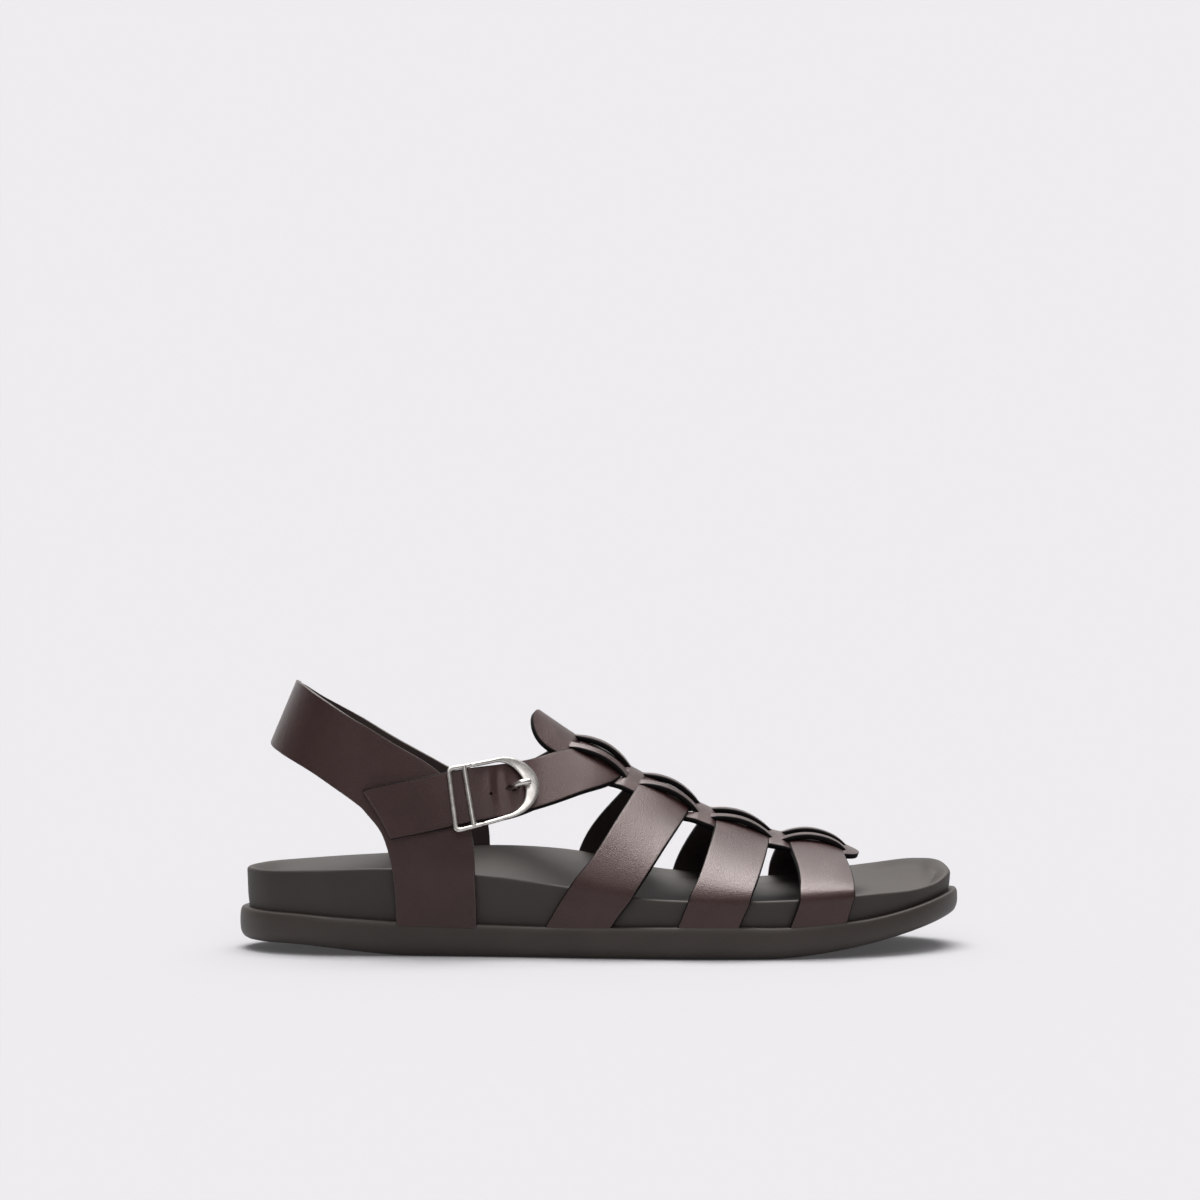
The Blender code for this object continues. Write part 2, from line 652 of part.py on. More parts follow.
def sling_half(side):
    """Grid from the heel's back down to the outsole on one side."""
    rows = np.array(SLING)
    if side > 0:
        forward = np.clip((np.arange(len(rows)) - 4) / 3, 0, 1)
        rows[:, 2] += INNER_QUARTER_FORWARD * forward
        rows[:, 0] += INNER_QUARTER_FORWARD * forward
        rows[1:6, 3] -= INNER_SLING_DROP / SLING_TOP
    knots = np.arange(len(rows)) / (len(rows) - 1)
    table = np.column_stack([knots, rows])
    at = np.linspace(0, 1, SLING_STEPS + 1)
    low_p, low_z, high_p, high_z = (curve(table, c, at) for c in (1, 2, 3, 4))
    grid = []
    for share in np.linspace(0, 1, STRAP_COLUMNS + 1):
        plan = low_p + (high_p - low_p) * share
        height = SLING_TOP * (low_z + (high_z - low_z) * share)
        points = sling_point(side, plan, height)
        points[-1, 2] = sole_top(points[-1, 0]) + CLEARANCE
        grid.append(points)
    return np.stack(grid, axis=1)


def build_sling(material):
    outer = sling_half(-1)
    inner = sling_half(1)
    grid = np.concatenate([outer[::-1], inner[1:]])
    return leather_sheet("heel_sling", grid, 0.0, material)


def buckle_seat():
    """Ankle strap's surface under the buckle, with its walk along and across."""
    shares = np.array([-0.7, -0.5, -0.25, 0.0, 0.25, 0.5, 0.7])
    grid = ankle_grid(shares)[0][:STRAP_STEPS // 2]
    centre = grid[:, len(shares) // 2]
    walk = np.concatenate([[0], np.cumsum(np.linalg.norm(np.diff(centre, axis=0), axis=1))])
    middle = np.interp(HEEL_X + LENGTH * BUCKLE_STATION, centre[:, 0], walk)
    upward = np.sign(grid[0, -1, 2] - grid[0, 0, 2])
    return walk - middle, shares * ANKLE_STRAP_WIDTH * upward, grid, outward_normals(grid)


def buckle_points(along, across, height):
    """Points over the ankle strap: along it from the buckle's middle, across
    it, and up from the last."""
    walk, rows_across, grid, normal = buckle_seat()
    order = np.argsort(rows_across)
    result = []
    for a, b, h in zip(along, across, height):
        point = []
        for field in (grid, normal):
            row = [[np.interp(a, walk, field[:, j, c]) for j in order] for c in range(3)]
            point.append([np.interp(b, rows_across[order], values) for values in row])
        result.append(np.array(point[0]) + h * np.array(point[1]))
    return np.array(result)


def arc(centre, radii, start, end, count):
    """Points on an elliptic arc, angles in degrees."""
    angle = np.radians(np.linspace(start, end, count))
    return np.column_stack([centre[0] + radii[0] * np.cos(angle), centre[1] + radii[1] * np.sin(angle)])


def d_outline(left, right, half, corner, bow):
    """Closed outline with two round corners and a bowed end."""
    parts = [
        arc((left + corner, half - corner), (corner, corner), 180, 90, 5),
        arc((right - bow, 0), (bow, half), 90, -90, 19),
        arc((left + corner, corner - half), (corner, corner), -90, -180, 5)]
    return np.vstack(parts)


def frame_height():
    """Middle of the buckle's wire over the last, clear of the strap."""
    return LEATHER * (QUARTER_LIFT + 1) + 2 * CLEARANCE + BUCKLE_WIRE / 2


def tube(points, radius_list, sides, name, material):
    """Round bar along points, with flat ends."""
    points = np.asarray(points)
    tangent = np.gradient(points, axis=0)
    tangent /= np.linalg.norm(tangent, axis=1)[:, None]
    reference = np.array([0.3, 0.1, 0.95])
    vertices, faces = [], []
    for point, direction, radius in zip(points, tangent, radius_list):
        first = np.cross(direction, reference)
        first /= np.linalg.norm(first)
        second = np.cross(direction, first)
        for k in range(sides):
            angle = 2 * np.pi * k / sides
            vertices.append(point + radius * (np.cos(angle) * first + np.sin(angle) * second))
    count = len(points)
    for i in range(count - 1):
        for k in range(sides):
            after = (k + 1) % sides
            faces.append((i * sides + k, i * sides + after, (i + 1) * sides + after, (i + 1) * sides + k))
    faces.append(tuple(range(sides)))
    faces.append(tuple((count - 1) * sides + k for k in range(sides))[::-1])
    return mesh_object(name, vertices, faces, material)


def build_buckle_frame(material):
    """Cast frame: keeper end, rails and a wide crescent, with its pivot bar."""
    half_length = BUCKLE_LENGTH / 2
    inner_half = ANKLE_STRAP_WIDTH / 2 + BUCKLE_SIDE_GAP
    outer_half = inner_half + BUCKLE_WIRE
    outer = d_outline(-half_length, half_length, outer_half, BUCKLE_CORNER, BUCKLE_BOW)
    inner = d_outline(-half_length + BUCKLE_WIRE, half_length - BUCKLE_CRESCENT, inner_half,
                      BUCKLE_CORNER / 2, BUCKLE_INNER_BOW)
    section = [(0.0, -0.5), (0.0, 0.5), (1.0, 0.5), (1.0, -0.5)]
    vertices, faces = [], []
    height = frame_height()
    for share, up in section:
        ring = inner + (outer - inner) * share
        level = np.full(len(ring), height + up * BUCKLE_WIRE)
        vertices.extend(buckle_points(ring[:, 0], ring[:, 1], level))
    count, layers = len(outer), len(section)
    for layer in range(layers):
        for k in range(count):
            after, above = (k + 1) % count, (layer + 1) % layers
            faces.append((layer * count + k, layer * count + after,
                          above * count + after, above * count + k))
    frame = mesh_object("buckle_frame", vertices, faces, material)
    rail = outer_half - BUCKLE_WIRE / 2
    keeper_at = -half_length + BUCKLE_WIRE / 2 + BUCKLE_KEEPER_PITCH
    pivot_at = -half_length + BUCKLE_PIVOT_PITCH
    low = CLEARANCE + BUCKLE_BAR / 2
    for name, place, route in (("keeper_bar", keeper_at, KEEPER_BAR), ("pivot_bar", pivot_at, PIVOT_BAR)):
        across, rise = np.array(route).T
        count = len(route)
        points = buckle_points(np.full(count, place), across * rail, low + rise * (height - low))
        radii = np.full(count, BUCKLE_BAR / 2)
        join(frame, hidden(tube(points, radii, TUBE_SIDES, name, material)), "UNION")
    return frame


def build_prong_hole(material):
    """Cutter of the slot where the prong comes up through the strap."""
    half_width = PRONG_WIDTH / 2 + BUCKLE_SIDE_GAP
    walls = arc((PRONG_SLOT_STEP, 0.0), (PRONG_SLOT_HALF, half_width), 0, 330, SLOT_SIDES)
    low = buckle_points(walls[:, 0], walls[:, 1], np.zeros(SLOT_SIDES))
    high = buckle_points(walls[:, 0], walls[:, 1], np.full(SLOT_SIDES, 5 * LEATHER))
    faces = [tuple(range(SLOT_SIDES))[::-1], tuple(range(SLOT_SIDES, 2 * SLOT_SIDES))]
    for k in range(SLOT_SIDES):
        after = (k + 1) % SLOT_SIDES
        faces.append((k, after, SLOT_SIDES + after, SLOT_SIDES + k))
    return mesh_object("prong_hole", np.vstack([low, high]), faces, material)


def build_prong(material):
    """Bent pin from beside the pivot bar, up through the strap, onto the frame."""
    top = frame_height() + BUCKLE_WIRE / 2 + CLEARANCE + PRONG_WIDTH / 2
    start = -BUCKLE_LENGTH / 2 + BUCKLE_PIVOT_PITCH + BUCKLE_BAR / 2 + CLEARANCE
    route = np.array(PRONG_ROUTE) * [BUCKLE_LENGTH, top]
    even = resample(np.vstack([(start, route[0, 1]), route]), PRONG_STEPS)
    points = buckle_points(even[:, 0], np.zeros(PRONG_STEPS), even[:, 1])
    radii = np.full(PRONG_STEPS, PRONG_WIDTH / 2)
    radii[-1] *= PRONG_TIP
    return tube(points, radii, TUBE_SIDES, "buckle_prong", material)


def material(name, colour, roughness, metallic=0.0):
    result = bpy.data.materials.new(name)
    result.use_nodes = True
    shader = result.node_tree.nodes["Principled BSDF"]
    shader.inputs["Base Color"].default_value = (*colour, 1.0)
    shader.inputs["Roughness"].default_value = roughness
    shader.inputs["Metallic"].default_value = metallic
    return result


for old in list(bpy.data.objects):
    bpy.data.objects.remove(old)

brown_leather = material("brown_leather", (0.030, 0.017, 0.015), 0.38)
nickel = material("satin_nickel", (0.62, 0.59, 0.55), 0.28, 1.0)
build_outsole(material("outsole_rubber", (0.040, 0.034, 0.029), 0.6))
build_footbed(material("footbed_foam", (0.046, 0.040, 0.036), 0.55))
build_upper(brown_leather)
build_sling(material("sling_leather", (0.030, 0.017, 0.015), 0.38))
build_buckle_frame(nickel)
build_prong(material("prong_nickel", (0.62, 0.59, 0.55), 0.25, 1.0))
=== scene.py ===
# %% [markdown]
# # A woven leather sandal, dressed on its measured frame
#
# A sandal has no shell: a few strips of leather are wrapped round a last, the
# maker's wooden foot, and their ends are trapped between the footbed and the
# outsole. So this lesson first rebuilds the last as a formula, and then every
# strap is a rectangle of leather laid on it. All lengths are in metres, +X
# points to the toe, +Z is up and -Y is the outer side of a right foot.

# %% Load the measured frame
import bpy
import bmesh
import numpy as np
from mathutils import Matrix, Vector


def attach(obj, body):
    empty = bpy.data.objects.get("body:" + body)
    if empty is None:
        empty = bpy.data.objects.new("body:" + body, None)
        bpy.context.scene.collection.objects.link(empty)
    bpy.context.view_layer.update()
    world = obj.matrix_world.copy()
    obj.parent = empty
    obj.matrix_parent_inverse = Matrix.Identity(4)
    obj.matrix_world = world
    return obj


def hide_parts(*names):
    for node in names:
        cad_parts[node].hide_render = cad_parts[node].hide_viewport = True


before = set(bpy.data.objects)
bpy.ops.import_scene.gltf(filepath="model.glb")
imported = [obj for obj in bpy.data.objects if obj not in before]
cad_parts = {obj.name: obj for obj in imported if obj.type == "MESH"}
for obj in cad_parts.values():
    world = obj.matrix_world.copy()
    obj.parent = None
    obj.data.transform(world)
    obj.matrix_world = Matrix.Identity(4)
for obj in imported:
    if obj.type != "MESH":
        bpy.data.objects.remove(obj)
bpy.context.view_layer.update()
print("frame nodes:", sorted(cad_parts))

# %% [markdown]
# ## The camera
#
# Product pictures of shoes are taken from far away with a long lens, so that
# the heel and the toe keep the same scale. The camera stands beside the outer
# side, five degrees above the floor, and looks level with the empty space over
# the shoe, which leaves the sandal in the lower half of a square picture.

# %% Place the camera
MM = 0.001
PICTURE_WIDTH = 1200 / 2436
LENS = 0.5
SENSOR = 0.036
ELEVATION = np.radians(5.0)
AIM = Vector((0.0004, 0.0, 0.1432))
CLIP_END = 100

camera = bpy.data.objects.new("studio_camera", bpy.data.cameras.new("studio_camera"))
bpy.context.scene.collection.objects.link(camera)
camera.data.sensor_width = SENSOR / MM
camera.data.lens = LENS / MM
camera.data.clip_end = CLIP_END
toward = Vector((0, np.cos(ELEVATION), -np.sin(ELEVATION)))
camera.location = AIM - toward * (PICTURE_WIDTH * LENS / SENSOR)
camera.rotation_euler = (np.pi / 2 - ELEVATION, 0, 0)
bpy.context.scene.camera = camera
print("camera distance in m:", round((AIM - camera.location).length, 2))

# %% [markdown]
# ## Smooth curves from small tables
#
# A pattern maker writes a curve down as a few measured points and bends a thin
# batten through them. The function below is that batten: a cubic between each
# pair of rows, with its slope at a row taken from the neighbours. It works on
# whole arrays, so one call reads thousands of places.

# %% A batten through a table
def curve(table, column, at):
    """Cubic Hermite: each row's value, and the slope between its neighbours."""
    rows = np.array(table)
    knots, values = rows[:, 0], rows[:, column]
    at = np.clip(at, knots[0], knots[-1])
    slopes = np.gradient(values, knots)
    i = np.clip(np.searchsorted(knots, at) - 1, 0, len(knots) - 2)
    step = knots[i + 1] - knots[i]
    t = (at - knots[i]) / step
    start = values[i] * (1 + 2 * t) * (1 - t) ** 2 + slopes[i] * step * t * (1 - t) ** 2
    return start + values[i + 1] * t * t * (3 - 2 * t) - slopes[i + 1] * step * t * t * (1 - t)


def smooth_step(value, low, high):
    """0 below low, 1 above high, and t^2 (3 - 2t) between them."""
    t = np.clip((value - low) / (high - low), 0, 1)
    return t * t * (3 - 2 * t)


def resample(points, count):
    """The same curve through a row of points, read at even steps of its length."""
    points = np.array(points, dtype=float)
    steps = np.linalg.norm(np.diff(points[:, :2], axis=0), axis=1)
    walk = np.concatenate([[0.0], np.cumsum(steps)]) / steps.sum()
    table = np.column_stack([walk, points])
    at = np.linspace(0, 1, count)
    return np.column_stack([curve(table, c + 1, at) for c in range(points.shape[1])])


# %% [markdown]
# ## The sole's outline
#
# Everything on the sandal is measured from the outline of its sole. The table
# walks round it as shares of the sole's length and ball width: out from the
# back of the heel along the outer side, round the toe, and home along the
# inner side.

# %% Walk round the sole
LENGTH = 0.295
BALL_WIDTH = 0.107
OUTSOLE_THICKNESS = 0.013
HEEL_BEVEL = 0.0042
HEEL_FLAT_START = 0.245
BALL_FLAT_END = 0.73
TOE_SPRING = 0.0145
WELT = 0.0029
FOOTBED_HEIGHT = 0.0225
HALF_STEPS = 240
OUTLINE = [
    (0.000, 0.000), (0.030, -0.210), (0.102, -0.322), (0.210, -0.350),
    (0.356, -0.392), (0.508, -0.458), (0.661, -0.500), (0.786, -0.467),
    (0.888, -0.360), (0.959, -0.196), (1.000, 0.075), (0.976, 0.308),
    (0.908, 0.435), (0.797, 0.492), (0.678, 0.482), (0.542, 0.416),
    (0.400, 0.360), (0.254, 0.346), (0.108, 0.327), (0.030, 0.210)]
TOE_ROW = 10
SOLE_THICKNESS = [
    (0.00, 1.00), (0.12, 1.00), (0.20, 1.08), (0.25, 1.08), (0.40, 1.00),
    (0.75, 1.00), (0.83, 0.90), (0.88, 0.81), (0.92, 0.77), (1.00, 0.74)]


def closed_outline(fine_steps=900):
    """Outer and inner half of the outline, heel to toe, centred in its box."""
    rows = np.array(OUTLINE) * [LENGTH, BALL_WIDTH]
    fine = resample(np.vstack([rows[-2:], rows, rows[:3]]), fine_steps)
    middle = fine_steps // 2
    start = np.argmin(np.linalg.norm(fine[:middle] - rows[0], axis=1))
    toe = np.argmin(np.linalg.norm(fine - rows[TOE_ROW], axis=1))
    end = middle + np.argmin(np.linalg.norm(fine[middle:] - rows[0], axis=1))
    halves = [resample(half[::6], HALF_STEPS + 1)
              for half in (fine[start:toe + 1], fine[toe:end + 1][::-1])]
    halves[1][[0, -1]] = halves[0][[0, -1]]
    both = np.vstack(halves)
    centre = (both.max(axis=0) + both.min(axis=0)) / 2
    return halves[0] - centre, halves[1] - centre


OUTER_EDGE, INNER_EDGE = closed_outline()
RING = np.vstack([OUTER_EDGE, INNER_EDGE[-2:0:-1]])
HEEL_X = RING[:, 0].min()
print("outline points:", len(RING), "heel at", round(HEEL_X / MM, 1), "mm")


# %% Heights along the sole
def station_of(x):
    return (x - HEEL_X) / LENGTH


def inset(distance):
    """The outline moved inward, each point along the normal of its neighbours."""
    tangent = np.roll(RING, -1, axis=0) - np.roll(RING, 1, axis=0)
    tangent /= np.linalg.norm(tangent, axis=1)[:, None]
    return RING + np.column_stack([-tangent[:, 1], tangent[:, 0]]) * distance


def sole_bottom(x):
    """Underside: a bevelled heel, a flat that stands on the floor, a sprung toe."""
    s = station_of(x)
    heel = np.clip((HEEL_FLAT_START - s) / (0.75 * HEEL_FLAT_START), 0, 1)
    toe = np.clip((s - BALL_FLAT_END) / (1 - BALL_FLAT_END), 0, 1)
    return HEEL_BEVEL * heel ** 2 * (3 - 2 * heel) + TOE_SPRING * toe ** 1.7


def sole_top(x):
    return sole_bottom(x) + OUTSOLE_THICKNESS * curve(SOLE_THICKNESS, 1, station_of(x))


# %% [markdown]
# ## The last
#
# A last is hard to draw as a mesh and easy to write as sections. At each
# station along the foot the section starts on a ridge over the middle, swells
# outward, and comes down to the footbed's rim on either side, which is a cubic
# Bezier curve. The second parameter, the girth, is 0 on the ridge and 1 on the
# rim, and past 1 it runs straight down the footbed's wall at the same pace.

# %% A foot as a formula
INSTEP_HEIGHT = 0.094
WALL_GAP = 0.0006
SEAM_GAP = 0.0003
BASE_GIRTH = 1.25
OUTER_FULLNESS = 0.30
INNER_FULLNESS = 0.42
RIM = [
    (0.00, 0.898, 0.898), (0.10, 0.970, 0.929), (0.20, 1.020, 0.996),
    (0.36, 0.890, 1.142), (0.42, 0.795, 1.105), (0.47, 0.705, 1.027),
    (0.555, 0.542, 0.745), (0.64, 0.493, 0.585), (0.72, 0.489, 0.498),
    (0.80, 0.515, 0.609), (0.88, 0.569, 0.760), (0.945, 0.600, 0.893),
    (0.975, 0.670, 0.898), (1.00, 0.770, 0.790)]
RIDGE = [
    (0.17, 0.02, 2.290), (0.255, 0.04, 1.755), (0.305, 0.06, 1.470),
    (0.356, 0.09, 1.195), (0.406, 0.11, 1.033), (0.437, 0.11, 0.963),
    (0.463, 0.11, 0.908), (0.549, 0.115, 0.754), (0.647, 0.13, 0.592),
    (0.745, 0.15, 0.478), (0.797, 0.155, 0.449), (0.834, 0.16, 0.425),
    (0.859, 0.16, 0.390), (0.90, 0.16, 0.335)]


def rim_height(x, across):
    """Height of the footbed's rim; across is 0 on the outer side, 1 on the inner."""
    s = station_of(x)
    share = (1 - across) * curve(RIM, 1, s) + across * curve(RIM, 2, s)
    return OUTSOLE_THICKNESS + FOOTBED_HEIGHT * share


WALL = inset(WELT)
OUTER_WALL = WALL[:HALF_STEPS + 1][np.argsort(WALL[:HALF_STEPS + 1, 0])]
INNER_WALL = WALL[HALF_STEPS:][np.argsort(WALL[HALF_STEPS:, 0])]


def last_point(x, girth):
    """Bezier section: (1-t)^3 and 3(1-t)^2 t near the ridge, t^3 at the rim."""
    s = station_of(x)
    outer = girth < 0
    ridge_y, ridge_z = BALL_WIDTH * curve(RIDGE, 1, s), INSTEP_HEIGHT * curve(RIDGE, 2, s)
    rim_y = np.where(outer, np.interp(x, *OUTER_WALL.T) - WALL_GAP,
                     np.interp(x, *INNER_WALL.T) + WALL_GAP)
    rim_z = rim_height(x, np.where(outer, 0.0, 1.0))
    fullness = np.where(outer, OUTER_FULLNESS, INNER_FULLNESS)
    t = np.clip(np.abs(girth), 0, 1)
    near_ridge = (1 - t) ** 3 + 3 * (1 - t) ** 2 * t
    y = rim_y + (near_ridge - 3 * (1 - t) ** 2 * t * fullness) * (ridge_y - rim_y)
    z = rim_z + (near_ridge + 3 * (1 - t) * t ** 2 * fullness) * (ridge_z - rim_z)
    down = np.maximum(np.abs(girth) - 1, 0) * 3 * fullness * (ridge_z - rim_z)
    return np.stack([x + 0 * y, y, z - down], axis=-1)


print("instep height in mm:", round(last_point(HEEL_X + 0.406 * LENGTH, 0.0)[2] / MM, 1))

# %% [markdown]
# ## Laying a strap on the last
#
# A strap's pattern is a straight strip. To lay it down, its middle line is a
# path over the last, and every other point is found by walking sideways over
# the surface. That walk solves a small system: which change of station and
# girth moves the point by the wanted distance.


# %% A strip over the foot
def unit(vectors):
    return vectors / np.linalg.norm(vectors, axis=-1, keepdims=True)


SPARE = 0.006
SIDE_STEPS = 8
HEART_HEIGHT = 0.012


def tangents(x, girth, small=1e-4):
    """A point of the last, and how it moves per metre of x and per unit of girth."""
    here = last_point(x, girth)
    turn = np.where(girth < 0, small, -small)
    by_x = (last_point(x + small, girth) - here) / small
    return here, by_x, (last_point(x, girth + turn) - here) / turn[..., None]


def strip_on_last(path):
    """Surface of a strip: distance along its path, offset to its side.

    The path runs on straight for a few millimetres past both its ends, so that
    an end can be cut aslant, and distance 0 is at its first point."""
    lengths = np.linalg.norm(np.diff(last_point(path[:, 0], path[:, 1]), axis=0), axis=1)
    before = path[0] - (path[1] - path[0]) * SPARE / lengths[0]
    after = path[-1] + (path[-1] - path[-2]) * SPARE / lengths[-1]
    path = np.vstack([before, path, after])
    centre = last_point(path[:, 0], path[:, 1])
    walk = np.concatenate([[0], np.cumsum(np.linalg.norm(np.diff(centre, axis=0), axis=1))])
    walk -= walk[1]
    heading = unit(np.gradient(centre, axis=0))

    def place(distance, offset):
        """Short steps sideways. Each keeps the last bearing, less its part along the
        normal, and solves the least squares on the tangents by station and girth."""
        x, girth = (np.interp(distance, walk, path[:, c]) + 0 * offset for c in (0, 1))
        along = np.stack([np.interp(distance, walk, heading[:, c]) for c in range(3)], axis=-1)
        _, by_x, by_girth = tangents(x, girth)
        bearing = np.cross(np.cross(by_x, by_girth), along)
        for _ in range(SIDE_STEPS):
            _, by_x, by_girth = tangents(x, girth)
            normal = unit(np.cross(by_x, by_girth))
            bearing = unit(bearing - normal * np.sum(bearing * normal, axis=-1, keepdims=True))
            across = bearing * (offset / SIDE_STEPS)[..., None]
            xx, xg, gg = (np.sum(a * b, axis=-1)
                          for a, b in ((by_x, by_x), (by_x, by_girth), (by_girth, by_girth)))
            to_x, to_girth = np.sum(across * by_x, axis=-1), np.sum(across * by_girth, axis=-1)
            det = xx * gg - xg ** 2
            x = x + (gg * to_x - xg * to_girth) / det
            girth = girth + (xx * to_girth - xg * to_x) / det
        return last_point(x, girth)
    return place, walk, path


def raised(place, distance, offset, height):
    """The surface's point, moved along its outward normal by a height. Outward is
    away from a line inside the foot, along X."""
    small = 2e-4
    forward = place(distance + small, offset) - place(distance - small, offset)
    sideways = place(distance, offset + small) - place(distance, offset - small)
    normal = unit(np.cross(forward, sideways))
    point = place(distance, offset)
    heart = point * [1, 0, 0] + [0, 0, HEART_HEIGHT]
    outward = np.sign(np.sum(np.median((point - heart) * normal, axis=0)))
    return point + normal * outward * height[..., None]


# %% [markdown]
# ## From grids to leather
#
# Leather has a grain face, a flesh face and cut edges that are rounded and
# painted. A strip's cross-section is therefore a closed loop: over the grain,
# round one edge, back under the flesh and round the other edge. Each face of
# the mesh remembers which of the three it belongs to.

# %% Mesh from a grid of points
LEATHER = 0.0022
GRAIN, EDGE, FLESH = 0, 1, 2


def new_piece(name, points, faces, kinds, materials, rim=None, sharp=35, weld=1e-6):
    """Mesh object with coincident points joined and its faces turned outward."""
    mesh = bpy.data.meshes.new(name)
    mesh.from_pydata(points.reshape(-1, 3), [], faces)
    mesh.polygons.foreach_set("material_index", np.asarray(kinds, dtype=np.int32))
    if rim is not None:
        mesh.attributes.new("rim", "FLOAT", "POINT").data.foreach_set("value", rim.ravel())
    work = bmesh.new()
    work.from_mesh(mesh)
    bmesh.ops.remove_doubles(work, verts=work.verts, dist=weld)
    bmesh.ops.dissolve_degenerate(work, edges=work.edges, dist=weld)
    bmesh.ops.recalc_face_normals(work, faces=work.faces)
    work.to_mesh(mesh)
    work.free()
    mesh.shade_smooth()
    mesh.set_sharp_from_angle(angle=np.radians(sharp))
    piece = bpy.data.objects.new(name, mesh)
    bpy.context.scene.collection.objects.link(piece)
    for finish in materials:
        mesh.materials.append(finish)
    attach(piece, "root")
    print(f"{name}: {len(mesh.polygons)} faces")
    return piece


def loop_faces(rows, columns, closed=True):
    """Quads between neighbouring rows; a closed grid also joins its last column
    to its first."""
    i, j = np.meshgrid(np.arange(rows - 1), np.arange(columns if closed else columns - 1), indexing="ij")
    k = (j + 1) % columns
    below, above = i * columns, (i + 1) * columns
    return np.stack([below + j, below + k, above + k, above + j], axis=-1).reshape(-1, 4)


def capped_tube(rows, columns):
    """Faces of a tube: its quads, then one face over each end."""
    ends = np.arange(columns)[::-1].tolist(), np.arange((rows - 1) * columns, rows * columns).tolist()
    return loop_faces(rows, columns).tolist() + list(ends)


# %% The cross-section of a leather strip
CORNER = np.radians([0, 22, 45, 68, 90])
TOP_ROUND = 0.45 * MM
LOW_ROUND = 0.30 * MM
FLAT_SHARES = np.linspace(-0.5, 0.5, 26)[1:-1]


def section(flat):
    """Loop of (side share, inset, height, kind). A round corner is a quarter
    circle: its inset is r(1-cos a), and it is r(1-sin a) short of its face."""
    def corner(side, radius, top, angles):
        short = radius * (1 - np.sin(angles))
        heights = LEATHER - short if top else short
        return [(side, radius * (1 - np.cos(a)), z, EDGE) for a, z in zip(angles, heights)]

    top = corner(-0.5, TOP_ROUND, True, CORNER)
    top[-1] = (*top[-1][:3], GRAIN)
    top += [(share, TOP_ROUND, LEATHER, GRAIN) for share in flat]
    low = corner(0.5, LOW_ROUND, False, CORNER)
    low[-1] = (*low[-1][:3], FLESH)
    low += [(share, LOW_ROUND, 0.0, FLESH) for share in flat[::-1]]
    return np.array(top + corner(0.5, TOP_ROUND, True, CORNER[::-1])
                    + low + corner(-0.5, LOW_ROUND, False, CORNER[::-1]))


STRIP_SECTION = section(FLAT_SHARES)
SKIVE_REACH = 0.012
RIM_FADE = 1.4 * MM


def leather_strip(name, surface, rows, width, lift, materials, ends=(0.0, 0.0), skew=0.0,
                  skive=(0.0, 0.0), shape=STRIP_SECTION, dent=None, cuts=None):
    """A strip of leather on a surface: each row is the section, whose offset is
    share x (width - 2 inset) and whose height stands on the lift.

    An end radius above zero rounds that end like its edges, the skew cuts the
    first end aslant, a skive thins the leather towards an end, and the cuts are
    cubics that shift each end by the offset."""
    place = surface[0]
    share, edge_inset, height, kind = shape.T
    distance = rows[:, None] + 0 * share
    squeeze = np.ones(len(rows))
    for from_end, radius in ((rows - rows[0], ends[0]), (rows[-1] - rows, ends[1])):
        if radius:
            squeeze *= np.sqrt(1 - (1 - np.clip(from_end / radius, 0.02, 1)) ** 2)
    pull = max(ends) * (1 - squeeze)
    offset = np.where(np.abs(share) == 0.5, np.sign(share) * (width / 2 - edge_inset - pull[:, None]),
                      share * (width - 2 * edge_inset - 2 * pull[:, None]))
    thin = (1 - skive[0] * np.clip(1 - (rows - rows[0]) / SKIVE_REACH, 0, 1)
            - skive[1] * np.clip(1 - (rows[-1] - rows) / SKIVE_REACH, 0, 1))
    middle = LEATHER / 2
    up = (middle + (height - middle) * squeeze[:, None]) * thin[:, None]
    if skew:
        fade = np.clip(1 - rows / (rows[-1] / 3), 0, 1) ** 2
        distance = distance + 2 * offset / width * skew * fade[:, None]
    if cuts:
        part = ((rows - rows[0]) / (rows[-1] - rows[0]))[:, None]
        distance = (1 - part) * np.polyval(cuts[0], offset) + part * np.polyval(cuts[1], offset)
    if dent:
        up = up - np.where(height == LEATHER, dent(distance, offset), 0)
    points = raised(place, distance, offset, up + lift(distance, offset))
    kinds = np.append(np.tile(kind, len(rows) - 1), [EDGE, EDGE])
    rim = np.exp(-(width / 2 - np.abs(offset)) / RIM_FADE)
    return new_piece(name, points, capped_tube(len(rows), len(share)), kinds, materials, rim)


# %% [markdown]
# ## Shader maths in plain Python
#
# A node tree is a formula drawn as boxes. The small class below wraps a socket
# so that the formula can be written instead: adding or multiplying two values
# adds the Math node that does it. Every other node comes from one method that
# takes its type, its settings and its sockets.


# %% Values that build nodes
class Value:
    """A socket that can be added, multiplied and compared in an expression."""

    def __init__(self, finish, socket):
        self.finish, self.socket = finish, socket

    def _math(self, operation, *parts):
        return self.finish.node("ShaderNodeMath", {"operation": operation}, dict(enumerate(parts)))

    def __add__(self, other):
        return self._math("ADD", self, other)

    def __sub__(self, other):
        return self._math("SUBTRACT", self, other)

    def __rsub__(self, other):
        return self._math("SUBTRACT", other, self)

    def __mul__(self, other):
        return self._math("MULTIPLY", self, other)

    def __pow__(self, other):
        return self._math("POWER", self, other)

    __radd__, __rmul__ = __add__, __mul__

    def clip(self, low, high):
        """0 below low, 1 above high, a smooth step between."""
        return self.finish.node("ShaderNodeMapRange", {"interpolation_type": "SMOOTHSTEP"},
                                {"Value": self, "From Min": low, "From Max": high})


